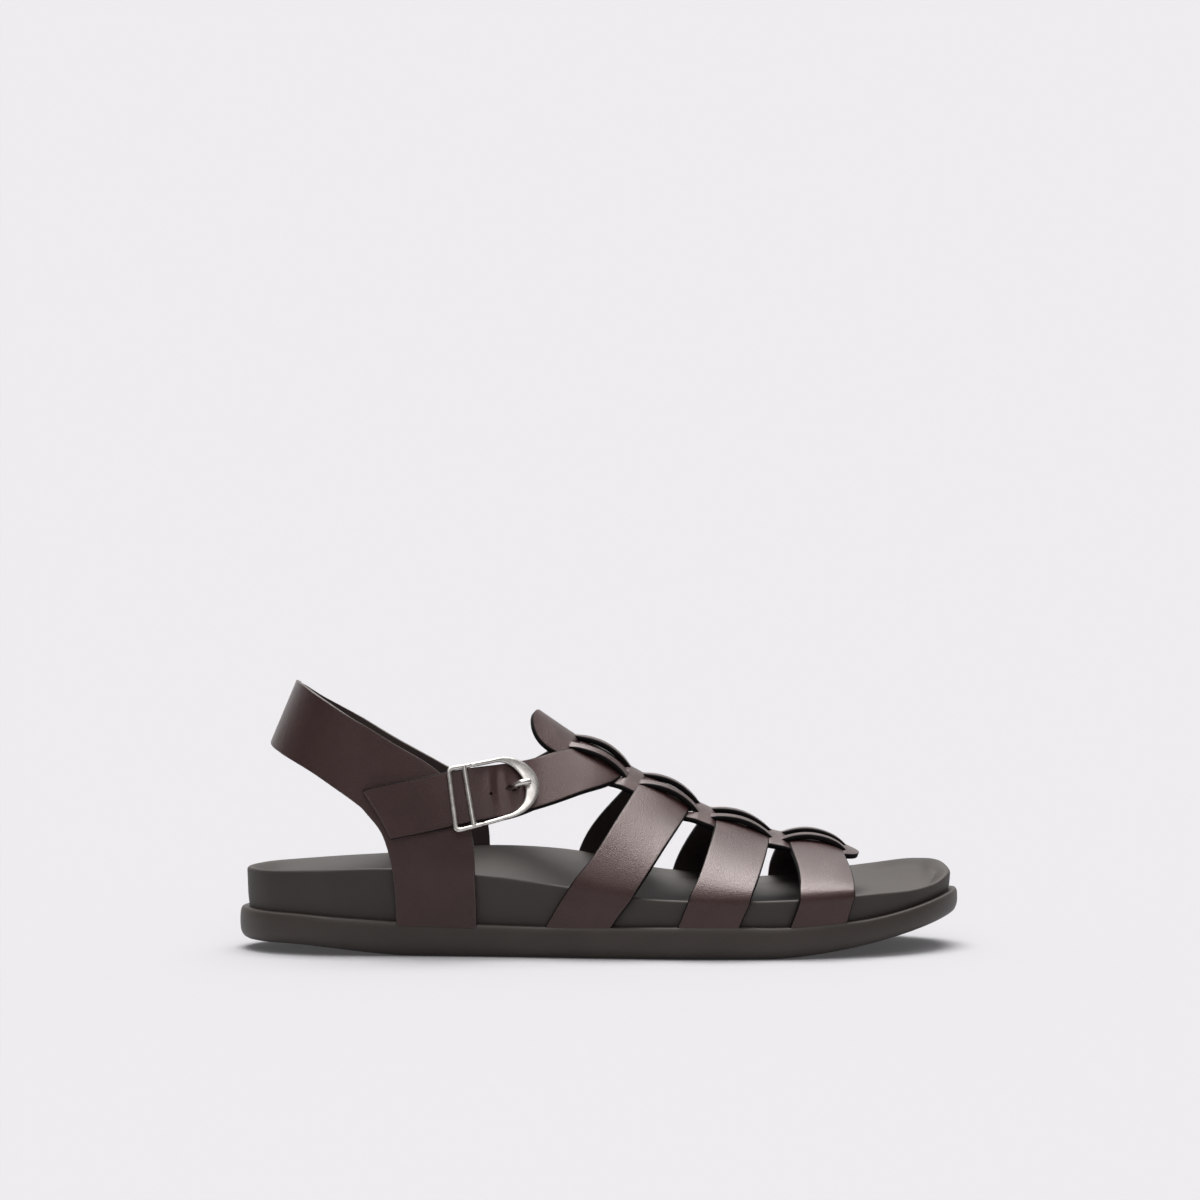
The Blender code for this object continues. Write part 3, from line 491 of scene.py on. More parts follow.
class Finish:
    """A material, or the world, whose nodes are made by expressions."""

    def __init__(self, owner):
        self.owner = owner
        owner.use_nodes = True
        self.tree = owner.node_tree

    def node(self, kind, settings=None, sockets=None, output=0):
        made = self.tree.nodes.new(kind)
        for key, setting in (settings or {}).items():
            setattr(made, key, setting)
        for key, given in (sockets or {}).items():
            if isinstance(given, Value):
                self.tree.links.new(given.socket, made.inputs[key])
            else:
                made.inputs[key].default_value = given
        return Value(self, made.outputs[output] if made.outputs else None)

    def feed(self, name, value):
        """Links a value to the shader, or sets a constant on its socket."""
        socket = self.tree.nodes["Principled BSDF"].inputs[name]
        if isinstance(value, Value):
            self.tree.links.new(value.socket, socket)
        else:
            socket.default_value = value

    def blend(self, share, first, second):
        """Colour that goes from the first to the second as the share rises."""
        return self.node("ShaderNodeMix", {"data_type": "RGBA"},
                         {"Factor": share, 6: first, 7: second}, output=2)

    def noise(self, size, detail=2.0, roughness=0.5):
        """Noise over the object's own metres, with lumps about one size across."""
        where = self.node("ShaderNodeTexCoord", output=3)
        return self.node("ShaderNodeTexNoise", None,
                         {"Vector": where, "Scale": 1 / size, "Detail": detail, "Roughness": roughness})

    def cells(self, size, feature="F1"):
        where = self.node("ShaderNodeTexCoord", output=3)
        return self.node("ShaderNodeTexVoronoi", {"feature": feature},
                         {"Vector": where, "Scale": 1 / size})

    def bump(self, height, depth):
        normal = self.node("ShaderNodeBump", None, {"Height": height, "Distance": depth, "Strength": 1.0})
        self.feed("Normal", normal)


def finish_named(name):
    return Finish(bpy.data.materials.new(name))


# %% [markdown]
# ## Leather, foam, rubber and metal
#
# The straps are full-grain leather, dyed a very dark brown and lightly waxed:
# a broad cloudiness from the dye, a fine grain of pores that breaks up the
# highlights, and a burnished line near each cut edge. The edges themselves are
# painted almost black, the sling's are only burnished, and the back is a fine
# brushed lining. Dye tints what the waxed face reflects, so its specular is tinted.

# %% Leather
def leather(name, dark, light, gloss):
    finish = finish_named(name)
    cloud = finish.noise(22 * MM, 3.0)
    grain = finish.noise(0.55 * MM, 3.0, 0.6)
    pores = finish.cells(0.42 * MM)
    rim = finish.node("ShaderNodeAttribute", {"attribute_name": "rim"}, output=2)
    tone = (cloud.clip(0.3, 0.7) * 0.6 + grain * 0.3 + pores * 0.2) * (1 - rim * 0.35)
    finish.feed("Base Color", finish.blend(tone, dark, light))
    finish.feed("Roughness", gloss + grain * 0.10 - rim * 0.06 + cloud * 0.05)
    finish.feed("Specular IOR Level", 0.5)
    finish.feed("Specular Tint", (1.0, 0.80, 0.77, 1))
    finish.feed("Coat Weight", 0.22)
    finish.feed("Coat Roughness", 0.26)
    finish.bump(grain * 0.9 + pores * 0.9 + finish.noise(4 * MM, 2.0) * 0.7, 0.11 * MM)
    return finish.owner


def plain(name, dark, light, size, roughness, depth, specular=0.5):
    """A surface with one grain: it tints the colour, the gloss and the relief."""
    finish = finish_named(name)
    grain = finish.noise(size, 4.0, 0.6)
    cloud = finish.noise(30 * MM, 2.0)
    finish.feed("Base Color", finish.blend(grain * 0.5 + cloud.clip(0.3, 0.7) * 0.5, dark, light))
    finish.feed("Roughness", roughness + grain * 0.08)
    finish.feed("Specular IOR Level", specular)
    finish.bump(grain, depth)
    return finish.owner


strap_leather = leather("brown_strap_leather",
                        (0.020, 0.0074, 0.0072, 1), (0.037, 0.0155, 0.0148, 1), 0.25)
edge_paint = plain("edge_paint", (0.003, 0.0022, 0.0022, 1), (0.006, 0.0045, 0.0045, 1),
                   1.2 * MM, 0.50, 0.03 * MM, specular=0.12)
burnished_edge = plain("burnished_edge", (0.030, 0.018, 0.016, 1), (0.050, 0.032, 0.029, 1),
                       1.2 * MM, 0.30, 0.03 * MM)
lining = plain("brushed_lining", (0.022, 0.013, 0.012, 1), (0.040, 0.025, 0.022, 1),
               0.5 * MM, 0.72, 0.05 * MM)
LEATHER_FINISHES = [strap_leather, edge_paint, lining]
SLING_FINISHES = [strap_leather, burnished_edge, lining]

# %% Foam, rubber and metal
footbed_foam = plain("footbed_microfibre", (0.025, 0.0190, 0.0165, 1), (0.037, 0.0295, 0.026, 1),
                     0.35 * MM, 0.60, 0.03 * MM)
rubber = plain("outsole_rubber", (0.029, 0.0215, 0.0175, 1), (0.041, 0.032, 0.027, 1),
               0.6 * MM, 0.46, 0.03 * MM)


def brushed_metal(name):
    """Cast and tumbled alloy: soft satin, with faint scratches along X."""
    finish = finish_named(name)
    where = finish.node("ShaderNodeTexCoord", output=3)
    stretched = finish.node("ShaderNodeMapping", None, {"Vector": where, "Scale": (0.15, 1.0, 1.0)})
    scratches = finish.node("ShaderNodeTexNoise", None,
                            {"Vector": stretched, "Scale": 1 / (0.25 * MM), "Detail": 3.0})
    worn = finish.noise(3 * MM, 2.0)
    finish.feed("Base Color", finish.blend(worn.clip(0.35, 0.65),
                                           (0.56, 0.54, 0.515, 1), (0.68, 0.66, 0.635, 1)))
    finish.feed("Metallic", 1.0)
    finish.feed("Roughness", 0.20 + scratches * 0.12 + worn * 0.05)
    finish.bump(scratches, 0.006 * MM)
    return finish.owner


satin_metal = brushed_metal("satin_nickel_finish")
print("finishes:", len(bpy.data.materials))

# %% [markdown]
# ## The three cross straps
#
# Each cross strap rises from the seam on the outer side, passes over the foot
# and goes down into the seam on the inner side. Its path is a table of girth
# and station. Where it passes through the woven strip its middle is pinched up
# and its edges bend down, so the slits can close round it.

# %% Paths over the foot
STRAP_WIDTHS = {"instep_strap": 0.0235, "ball_strap": 0.0235, "toe_strap": 0.0225}
STRAP_PATHS = {
    "instep_strap": [
        (-1.45, 0.447), (-1.00, 0.503), (-0.62, 0.550), (-0.30, 0.583), (0.0, 0.596),
        (0.45, 0.570), (1.00, 0.510), (1.45, 0.483)],
    "ball_strap": [
        (-1.45, 0.641), (-1.00, 0.666), (-0.62, 0.685), (-0.30, 0.697), (0.0, 0.698),
        (0.45, 0.678), (1.00, 0.644), (1.45, 0.626)],
    "toe_strap": [
        (-1.45, 0.794), (-1.00, 0.814), (-0.62, 0.814), (-0.30, 0.803), (0.0, 0.798),
        (0.45, 0.790), (1.00, 0.776), (1.45, 0.771)]}
SPINE_GIRTH = -0.12
GIRTH_SCALE = 0.05


def eased(rows, reach=26):
    """Each row averaged with its neighbours under a bell, which spreads a bend."""
    padded = np.vstack([2 * rows[0] - rows[reach:0:-1], rows, 2 * rows[-1] - rows[-2:-reach - 2:-1]])
    bell = np.hanning(2 * reach + 3)[1:-1]
    return np.stack([np.convolve(column, bell / bell.sum(), "valid") for column in padded.T], axis=1)


def strap_path(table, count=400):
    """Rows of x and girth at even steps; a unit of girth counts as 50 mm. In the
    table BASE_GIRTH is the outsole, which is turned into the wall's own pace."""
    rows = np.array(table)
    measured = np.column_stack([rows[:, 1] * LENGTH + HEEL_X, rows[:, 0] * GIRTH_SCALE, rows[:, 2:]])
    even = resample(measured, count)
    even[:, 1] /= GIRTH_SCALE
    x, girth = even[:, 0], even[:, 1]
    drop, pace = (last_point(x, np.sign(girth) * reach) for reach in (1.0, 2.0))
    wall = (drop[:, 2] - sole_top(x) - SEAM_GAP) / (drop[:, 2] - pace[:, 2]) / (BASE_GIRTH - 1)
    past = np.maximum(np.abs(girth) - 1, 0)
    even[:, 1] += np.sign(girth) * past * (wall - 1)
    return eased(even)


CROWN_REACH = 0.016
CROWN_RISE = 0.8 * MM
CROWN_FALL = 1.7 * MM


def crown(walk, path, width):
    """Height that bends a strap under the weave: a bell along it, times a rise in
    the middle that falls with the square of the offset."""
    crossing = np.interp(SPINE_GIRTH, path[:, 1], walk)

    def lift(distance, offset):
        bell = np.exp(-((distance - crossing) / CROWN_REACH) ** 2)
        return bell * (CROWN_RISE - CROWN_FALL * (2 * offset / width) ** 2)
    return lift


# %% Lay the cross straps
SEAM_DEPTH = 1.6 * MM
CUT_LINES = 9


def seam_cuts(place, walk, width):
    """Where a few lines along the strap meet the depth of the seam, at either
    end, as a cubic of the offset."""
    sides = np.linspace(-0.5, 0.5, CUT_LINES) * width
    points = place(walk[:, None] + 0 * sides, 0 * walk[:, None] + sides)
    over = points[..., 2] - sole_top(points[..., 0]) + SEAM_DEPTH
    half = len(walk) // 2
    starts = [np.interp(0, over[:half, k], walk[:half]) for k in range(CUT_LINES)]
    ends = [np.interp(0, over[:half:-1, k], walk[:half:-1]) for k in range(CUT_LINES)]
    return np.polyfit(sides, starts, 3), np.polyfit(sides, ends, 3)


for name, table in STRAP_PATHS.items():
    surface = strip_on_last(strap_path(table))
    place, walk, path = surface
    width = STRAP_WIDTHS[name]
    cuts = seam_cuts(place, walk, width)
    rows = np.linspace(cuts[0][-1], cuts[1][-1], 170)
    strap = leather_strip(name, surface, rows, width, crown(walk, path, width), LEATHER_FINISHES,
                          skive=(0.5, 0.5), cuts=cuts)
    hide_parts("upper")

# %% [markdown]
# ## The ankle strap
#
# The strap that closes the shoe comes off the weave, passes through the buckle
# and lies along the quarter with its free end cut aslant. Inside the buckle it
# arches over the pivot bar, and the bend leaves soft creases in the leather.
# Each row of its path also holds a lift, counted in thicknesses of leather.
# Towards its inner end the strap grows narrower.

# %% Lay the ankle strap
ANKLE_WIDTH = 0.0225
INNER_TAPER = 0.0028
TAIL_SLANT = 0.0035
BUCKLE_STATION = 0.353
QUARTER_LIFT = 1 + SEAM_GAP / LEATHER
ANKLE_PATH = [
    (-0.872, 0.193, QUARTER_LIFT), (-0.849, 0.222, QUARTER_LIFT), (-0.814, 0.257, QUARTER_LIFT),
    (-0.768, 0.292, QUARTER_LIFT), (-0.716, 0.324, 1.20), (-0.664, 0.350, 1.35),
    (-0.606, 0.379, 1.12), (-0.562, 0.399, 0.95), (-0.504, 0.421, 0.50),
    (-0.439, 0.442, 0.25), (-0.362, 0.463, 0.10), (-0.200, 0.500, 0.00), (0.050, 0.502, 0.00),
    (0.462, 0.458, 0.10), (0.628, 0.424, 0.40), (0.744, 0.390, 0.90),
    (0.804, 0.360, QUARTER_LIFT), (0.845, 0.329, QUARTER_LIFT), (0.875, 0.298, QUARTER_LIFT)]


ankle_surface = strip_on_last(strap_path(ANKLE_PATH))
ankle_place, ankle_walk, ankle_path = ankle_surface
ankle_half = len(ankle_walk) // 2
ankle_length = ankle_walk[-2]
buckle_middle = np.interp(HEEL_X + LENGTH * BUCKLE_STATION,
                          ankle_path[:ankle_half, 0], ankle_walk[:ankle_half])
CREASE_BOW = 1.2 * MM
CREASES = [(-2.5, 1.6, 0.40), (1.2, 1.3, -0.34), (4.6, 1.8, 0.36)]


def ankle_lift(distance, offset):
    """The path's own lift, the weave's crown, and a bell-shaped ridge or trough
    for each crease, bowed across the strap."""
    lift = LEATHER * np.interp(distance, ankle_walk, ankle_path[:, 2])
    lift = lift + crown(ankle_walk, ankle_path, ANKLE_WIDTH)(distance, offset)
    for at, spread, height in CREASES:
        bow = CREASE_BOW * (2 * offset / ANKLE_WIDTH) ** 2
        ridge = np.exp(-((distance - buckle_middle - at * MM - bow) / (spread * MM)) ** 2)
        lift = lift + height * MM * ridge * np.cos(np.clip(offset / ANKLE_WIDTH, -0.5, 0.5) * np.pi)
    return lift


HOLES = [(-2.1, 0.9, 0.65, 0.65), (7.6, 0.0, 3.2, 1.5)]
HOLE_DEPTH = 1.7 * MM


def punched(distance, offset):
    """Depth of the spare hole and of the prong's slot: ellipses with a flat bottom
    and steep sides, the square root of 1 - r^6 of their own radius r."""
    depth = 0 * offset
    for at, side, long, wide in HOLES:
        radius = np.hypot((distance - buckle_middle - at * MM) / long, (offset + side * MM) / wide) / MM
        depth = np.maximum(depth, HOLE_DEPTH * np.clip(1 - radius ** 6, 0, 1) ** 0.5)
    return depth


END_ROWS = np.array([0, 0.1, 0.3, 0.6, 1.0]) * MM
END_ROUND = 1.0 * MM
hole_rows = np.concatenate([np.linspace(-3.0, -1.2, 19), np.linspace(3.8, 11.4, 32)]) * MM
ankle_rows = np.unique(np.concatenate([
    END_ROWS, np.linspace(1.4 * MM, ankle_length - 1.4 * MM, 240),
    ankle_length - END_ROWS, buckle_middle + hole_rows]))
fine_columns = np.unique(np.concatenate([FLAT_SHARES, np.linspace(-0.085, 0.085, 33)]))
ankle_widths = ANKLE_WIDTH - INNER_TAPER * smooth_step(ankle_rows[:, None] / ankle_length, 0.5, 0.8)
ankle_strap = leather_strip("ankle_strap", ankle_surface, ankle_rows, ankle_widths, ankle_lift,
                            LEATHER_FINISHES, ends=(END_ROUND, END_ROUND), skew=-TAIL_SLANT,
                            shape=section(fine_columns), dent=punched)
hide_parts("upper")

# %% [markdown]
# ## The woven strip
#
# One long leaf of leather runs down the middle of the foot. Four sets of four
# slits cut it into five bands, and the cross straps are threaded through them:
# under the second and fourth band, over the others. Between two crossings the
# leaf is whole. So each band is its own loop of points, its edges are rounded
# only where a slit is open, and where it is closed the neighbours are welded.

# %% Rows and rise of the weave
SPINE_WIDTH = 0.028
SPINE_START = 0.406
SPINE_END = 0.86
SLIT_LENGTH = 0.027
SLIT_GAP = 0.12 * MM
ARCH = 3.5 * MM
NECK_FALL = 1.1 * MM
DIP = 2.2 * MM
EDGE_ROUND = 0.62 * MM
CROSSINGS = [0.500, 0.597, 0.696, 0.798]
BANDS = [(-0.500, -0.268, -1), (-0.268, -0.107, 1), (-0.107, 0.107, -1),
         (0.107, 0.268, 1), (0.268, 0.500, -1)]

spine_x = HEEL_X + LENGTH * np.linspace(SPINE_START, SPINE_END, 500)
spine_surface = strip_on_last(np.column_stack([spine_x, np.full(500, SPINE_GIRTH)]))
spine_length = spine_surface[1][-2]
crossing_at = np.interp(HEEL_X + LENGTH * np.array(CROSSINGS), spine_surface[2][:, 0], spine_surface[1])
tips = SPINE_WIDTH / 2 * (1 - np.cos(np.radians(np.arange(0, 70, 4))))
slit_ends = np.concatenate([crossing_at - SLIT_LENGTH / 2, crossing_at + SLIT_LENGTH / 2])
spine_rows = np.unique(np.round(np.concatenate([
    tips, spine_length - tips, np.arange(tips[-1], spine_length - tips[-1], 0.55 * MM), slit_ends]), 6))
from_crossing = np.min(np.abs(spine_rows[:, None] - crossing_at), axis=1)
openness = np.clip(1 - (2 * from_crossing / SLIT_LENGTH) ** 2, 0, 1)
openness[openness < 1e-4] = 0
print("rows along the weave:", len(spine_rows))

# %% Weave the bands
def spine_band(low, high, level, first, last, columns=7):
    """One band: its two edges are shares of the leaf's width, opened by the
    slit. It rises by the arch times openness^1.1, or dips by a smooth step of
    it, and where the leaf is whole it falls with the square of the offset."""
    from_tip = np.minimum(spine_rows, spine_length - spine_rows) / (SPINE_WIDTH / 2)
    width = SPINE_WIDTH * np.sqrt(1 - (1 - np.clip(from_tip, 0, 1)) ** 2)
    gap = SLIT_GAP * (openness > 0)
    cut = EDGE_ROUND * np.clip(openness * 4, 0, 1)
    whole = np.minimum(EDGE_ROUND, width * 0.4)
    left, right = low * width + (0 if first else gap), high * width - (0 if last else gap)
    left_round, right_round = (whole if first else cut), (whole if last else cut)
    rise = ARCH * openness ** 1.1 if level > 0 else -DIP * smooth_step(openness, 0.0, 0.75)
    flat = np.linspace(0, 1, columns)[1:-1]

    def corner(edge, radius, inward, top, angles):
        off = edge[:, None] + inward * radius[:, None] * (1 - np.cos(angles))
        dip = radius[:, None] * (1 - np.sin(angles))
        return off, (LEATHER - dip if top else dip)

    inner_left, inner_right = left + left_round, right - right_round
    across = inner_left[:, None] + (inner_right - inner_left)[:, None] * flat
    parts = [corner(left, left_round, 1, True, CORNER), (across, np.full(across.shape, LEATHER)),
             corner(right, right_round, -1, True, CORNER[::-1]),
             corner(right, right_round, -1, False, CORNER), (across[:, ::-1], 0 * across),
             corner(left, left_round, 1, False, CORNER[::-1])]
    offset = np.hstack([p[0] for p in parts])
    closed = (1 - smooth_step(openness, 0.0, 0.6))[:, None]
    height = np.hstack([p[1] for p in parts]) + rise[:, None]
    height = height - NECK_FALL * (2 * offset / SPINE_WIDTH) ** 2 * closed
    turn, step = len(CORNER), len(flat)
    kind = np.array([EDGE] * (turn - 1) + [GRAIN] * (step + 1) + [EDGE] * (turn - 1) + [EDGE]
                    + [EDGE] * (turn - 1) + [FLESH] * (step + 1) + [EDGE] * (turn - 1) + [EDGE])
    walls = {2 * turn + step - 1: last, len(kind) - 1: first}
    return offset, height, kind, walls


all_points, all_faces, all_kinds, all_rims = [], [], [], []
start_index = 0
for band, (low, high, level) in enumerate(BANDS):
    offset, height, kind, walls = spine_band(low, high, level, band == 0, band == len(BANDS) - 1)
    distance = spine_rows[:, None] + 0 * offset
    points = raised(spine_surface[0], distance, offset, height)
    rows, columns = offset.shape
    quads = loop_faces(rows, columns)
    keep = np.ones(len(quads), dtype=bool).reshape(rows - 1, columns)
    parted = (openness[:-1] > 0) | (openness[1:] > 0)
    for column, free in walls.items():
        keep[:, column] = parted | free
    all_points.append(points.reshape(-1, 3))
    all_faces.append(quads[keep.ravel()] + start_index)
    all_kinds.append(np.tile(kind, rows - 1)[keep.ravel()])
    edge_near = np.minimum(offset - offset.min(axis=1)[:, None], offset.max(axis=1)[:, None] - offset)
    shown = np.clip(openness * 3, 0, 1)[:, None]
    all_rims.append((np.exp(-edge_near / MM) * shown).ravel())
    start_index += offset.size
spine = new_piece("woven_strip", np.vstack(all_points), np.vstack(all_faces).tolist(),
                  np.concatenate(all_kinds), LEATHER_FINISHES, np.concatenate(all_rims), weld=1.2e-5)
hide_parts("upper")

# %% [markdown]
# ## The heel sling and its quarters
#
# One piece of leather runs from the seam on the outer side up over the quarter,
# round behind the heel and down to the inner side. Its two edges are drawn as
# curves on the last's side: how far along the plan line, and how high. Behind
# the heel there is no last to follow, so the plan line turns a half circle.

# %% A surface round the heel
SLING_TOP = 0.110
SLING_DROP = 0.026
SLING_BACK_STATION = 0.0495
SLING_RAKE = 0.42
SLING_SIDE_STATION = 0.17
INNER_QUARTER_FORWARD = 0.019
INNER_SLING_DROP = 0.0036
SLING = [
    (-0.1695, 0.764, -0.1695, 0.997), (-0.1120, 0.737, -0.1120, 0.986),
    (-0.0610, 0.686, -0.0610, 0.947), (-0.0200, 0.607, -0.0140, 0.885),
    (0.0100, 0.523, 0.0410, 0.795), (0.0290, 0.455, 0.1020, 0.694),
    (0.0405, 0.364, 0.1300, 0.600), (0.0460, 0.273, 0.1537, 0.455),
    (0.0485, 0.185, 0.1590, 0.273), (0.0495, 0.120, 0.1610, 0.120)]


def side_of_last(side, x, z):
    """How far across the last is at a height: the girth is found by halving its
    range thirty times, and all points are halved together."""
    low, high = 0.0 * x, 0.0 * x + 2.0
    for _ in range(30):
        middle = (low + high) / 2
        above = last_point(x, side * middle)[..., 2] > z
        low, high = np.where(above, middle, low), np.where(above, high, middle)
    return last_point(x, side * low)[..., 1]


def sling_table(side):
    rows = np.array(SLING)
    if side > 0:
        forward = INNER_QUARTER_FORWARD * np.clip((np.arange(len(rows)) - 4) / 3, 0, 1)
        rows[:, 0] += forward
        rows[:, 2] += forward
        rows[1:6, 3] -= np.array([0.6, 1, 1, 1, 1]) * INNER_SLING_DROP / SLING_TOP
    return np.column_stack([np.arange(len(rows)) / (len(rows) - 1), rows])


def sling_place(walk, share):
    """Point at a walk from -1, outer seam, to 1, inner seam, and a share of the
    width: straight lines join the two edge curves."""
    result = 0
    for side in (-1, 1):
        table = sling_table(side)
        at = np.abs(walk)
        low_p, low_z, high_p, high_z = (curve(table, c, at) for c in (1, 2, 3, 4))
        plan = low_p + (high_p - low_p) * (share + 0.5)
        z = SLING_TOP * (low_z + (high_z - low_z) * (share + 0.5))
        side_x = HEEL_X + LENGTH * SLING_SIDE_STATION
        turn = np.clip(1 + plan / -SLING[0][0], 0, 1) * np.pi / 2
        back_x = HEEL_X + LENGTH * SLING_BACK_STATION + (z - (SLING_TOP - SLING_DROP)) * SLING_RAKE
        x = np.where(plan < 0, side_x - (side_x - back_x) * np.cos(turn), side_x + plan * LENGTH)
        y = side_of_last(side, np.maximum(x, side_x), z) * np.sin(turn)
        down = np.clip((at - 0.94) / 0.06, 0, 1) ** 2
        z = z + down * (sole_top(x) - SEAM_DEPTH - z)
        chosen = (walk < 0) if side < 0 else (walk >= 0)
        result = result + np.stack([x, y, z], axis=-1) * chosen[..., None]
    return result


def sling_grid(rows=240):
    """The section carried round the heel. Its offset in metres becomes a share
    of the local width, and its height follows the surface's normal."""
    walk = np.linspace(-1, 1, rows)[:, None] + 0 * STRIP_SECTION[:, 0]
    share, edge_inset, height, kind = STRIP_SECTION.T
    top, low = (sling_place(walk, edge + 0 * walk) for edge in (0.5, -0.5))
    width = np.linalg.norm(top - low, axis=-1)
    part = np.where(np.abs(share) == 0.5, np.sign(share) * (0.5 - edge_inset / width),
                    share * (1 - 2 * edge_inset / width))
    small = 2e-3
    ahead, behind = np.minimum(walk + small, 1), np.maximum(walk - small, -1)
    forward = sling_place(ahead, part) - sling_place(behind, part)
    upward = sling_place(walk, part + small) - sling_place(walk, part - small)
    normal = unit(np.cross(forward, upward))
    points = sling_place(walk, part)
    outward = np.sign(np.sum(normal * (points * [0.6, 1, 0] + [0.02, 0, 0])))
    edge_near = (0.5 - np.abs(part)) * width
    return points + normal * outward * height[None, :, None], kind, np.exp(-edge_near / RIM_FADE)


# %% Cut the sling
points, kind, rim = sling_grid()
kinds = np.append(np.tile(kind, len(points) - 1), [EDGE, EDGE])
sling = new_piece("heel_sling_leather", points, capped_tube(*points.shape[:2]), kinds,
                  SLING_FINISHES, rim)
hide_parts("heel_sling")

# %% [markdown]
# ## Footbed and outsole
#
# Both are moulded, so both are stacks of rings that follow the outline, closed
# by a cap. A row of the cap runs from the outer half of the ring to the inner
# half, which lets the top dish under the foot and the underside carry a tread.


# %% Stack rings and close them
TURN = 14
past_toe = np.arange(len(RING)) - HALF_STEPS
ring_side = smooth_step(past_toe, -TURN, TURN) - smooth_step(past_toe, HALF_STEPS - TURN, HALF_STEPS + TURN)
ring_side[:TURN] = 1 - ring_side[:-TURN - 1:-1]
print("outer side 0, inner side 1, at the heel:", round(float(ring_side[0]), 2))


def moulded(name, rings, low, high, columns, materials, kinds=(0, 0, 0)):
    """Rings listed upward, each the outline inset by a distance with a height
    per point. The two caps blend the ring's halves by a share and take their
    height from a function of x, the share, the share that the ring's own
    heights have there, and the length of the row."""
    count = len(RING)
    side = np.stack([np.column_stack([inset(d), z(inset(d)[:, 0])]) for d, z in rings])
    points, faces = [side.reshape(-1, 3)], [loop_faces(len(rings), count)]
    kind = [np.full(len(faces[0]), kinds[1])]
    start = side.shape[0] * count
    for (ring, height, tag) in ((side[0], low, kinds[0]), (side[-1], high, kinds[2])):
        outer = ring[:HALF_STEPS + 1]
        inner = np.vstack([ring[:1], ring[:HALF_STEPS - 1:-1]])
        share = np.linspace(0, 1, columns)[None, :]
        flat = outer[:, None, :2] * (1 - share[..., None]) + inner[:, None, :2] * share[..., None]
        sides = ring_side[:HALF_STEPS + 1], np.append(ring_side[:1], ring_side[:HALF_STEPS - 1:-1])
        lean = sides[0][:, None] * (1 - share) + sides[1][:, None] * share
        z = height(flat[..., 0], share, lean, np.abs(outer - inner)[:, 1:2])
        z[:, 0], z[:, -1] = outer[:, 2], inner[:, 2]
        z[0], z[-1] = ring[0, 2], ring[HALF_STEPS, 2]
        cap = np.concatenate([flat, z[..., None]], axis=-1)
        points.append(cap.reshape(-1, 3))
        faces.append(loop_faces(HALF_STEPS + 1, columns, closed=False) + start)
        kind.append(np.full(len(faces[-1]), tag))
        start += cap.shape[0] * columns
    return new_piece(name, np.vstack(points), np.vstack(faces).tolist(), np.concatenate(kind),
                     materials, weld=1e-6)


# %% Mould the footbed
HEEL_CUP_DEPTH = 0.0065
TOE_DISH_DEPTH = 0.0022
BOWL_CHORD = 0.075
CUP_END = 0.62
WALL_LEAN = 0.6 * MM
FOOTBED_RIM = [
    (0.0, 1.3), (0.04, 0.9), (0.16, 0.55), (0.38, 0.26), (0.7, 0.08), (1.1, 0.0),
    (1.8, 0.08), (2.7, 0.35), (3.8, 0.9), (5.0, 1.5), (6.5, 2.2)]


def footbed_top(x, share, lean, chord):
    """The rim's height less a sine bowl, deep at the heel and shallow at the toe."""
    s = station_of(x)
    heel = np.clip((CUP_END - s) / CUP_END, 0, 1) ** 0.5
    depth = TOE_DISH_DEPTH + (HEEL_CUP_DEPTH - TOE_DISH_DEPTH) * heel
    bowl = np.sin(np.pi * share) ** 0.9 * smooth_step(chord, 0, BOWL_CHORD)
    return rim_height(x, lean) - FOOTBED_RIM[-1][1] * MM - depth * bowl


def footbed_wall(x, climb):
    """Height of the wall: from the outsole's top to the foot of the rim."""
    return sole_top(x) * (1 - climb) + (rim_height(x, ring_side) - FOOTBED_RIM[0][1] * MM) * climb


footbed_rings = [(WELT + 1.1 * MM, lambda x: sole_top(x) - SEAM_DEPTH),
                 (WELT + 0.9 * MM, lambda x: sole_top(x) + 0.2 * MM)]
footbed_rings += [(WELT + WALL_LEAN * (1 - climb), lambda x, climb=climb: footbed_wall(x, climb))
                  for climb in (0.33, 0.66)]
footbed_rings += [(WELT + d * MM, lambda x, drop=drop: rim_height(x, ring_side) - drop * MM)
                  for d, drop in FOOTBED_RIM]
footbed = moulded("footbed_moulding", footbed_rings, lambda x, *_: sole_top(x) - SEAM_DEPTH,
                  footbed_top, 61, [footbed_foam])
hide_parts("footbed")

# %% Mould the outsole with its tread
SIDE_PROFILE = [
    (4.6, 0.0), (2.6, 0.02), (1.5, 0.07), (0.75, 0.15), (0.28, 0.26), (0.06, 0.38), (0.0, 0.50),
    (0.01, 0.62), (0.06, 0.74), (0.20, 0.84), (0.45, 0.92), (0.85, 0.975), (1.3, 0.997), (1.8, 1.0)]
TREAD_PITCH = 8.5 * MM
TREAD_WAVE = 3 * MM
TREAD_DEPTH = 1.1 * MM


def tread(x, share, lean, chord):
    """Waved grooves across the sole: a sine of (x + a sine of the way across),
    kept off the border, and deepest where it peaks."""
    wave = np.sin(2 * np.pi * (x + TREAD_WAVE * np.sin(6 * np.pi * share)) / TREAD_PITCH)
    groove = np.clip((wave - 0.35) / 0.4, 0, 1)
    s = station_of(x)
    from_side = np.clip((np.minimum(share, 1 - share) - 0.07) / 0.04, 0, 1)
    from_end = np.clip((np.minimum(s, 1 - s) - 0.05) / 0.02, 0, 1)
    return sole_bottom(x) + TREAD_DEPTH * groove * from_side * from_end


outsole_rings = [(d * MM, lambda x, climb=climb: sole_bottom(x) * (1 - climb) + sole_top(x) * climb)
                 for d, climb in SIDE_PROFILE]
outsole = moulded("outsole_moulding", outsole_rings, tread, lambda x, *_: sole_top(x), 121, [rubber])
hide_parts("outsole")

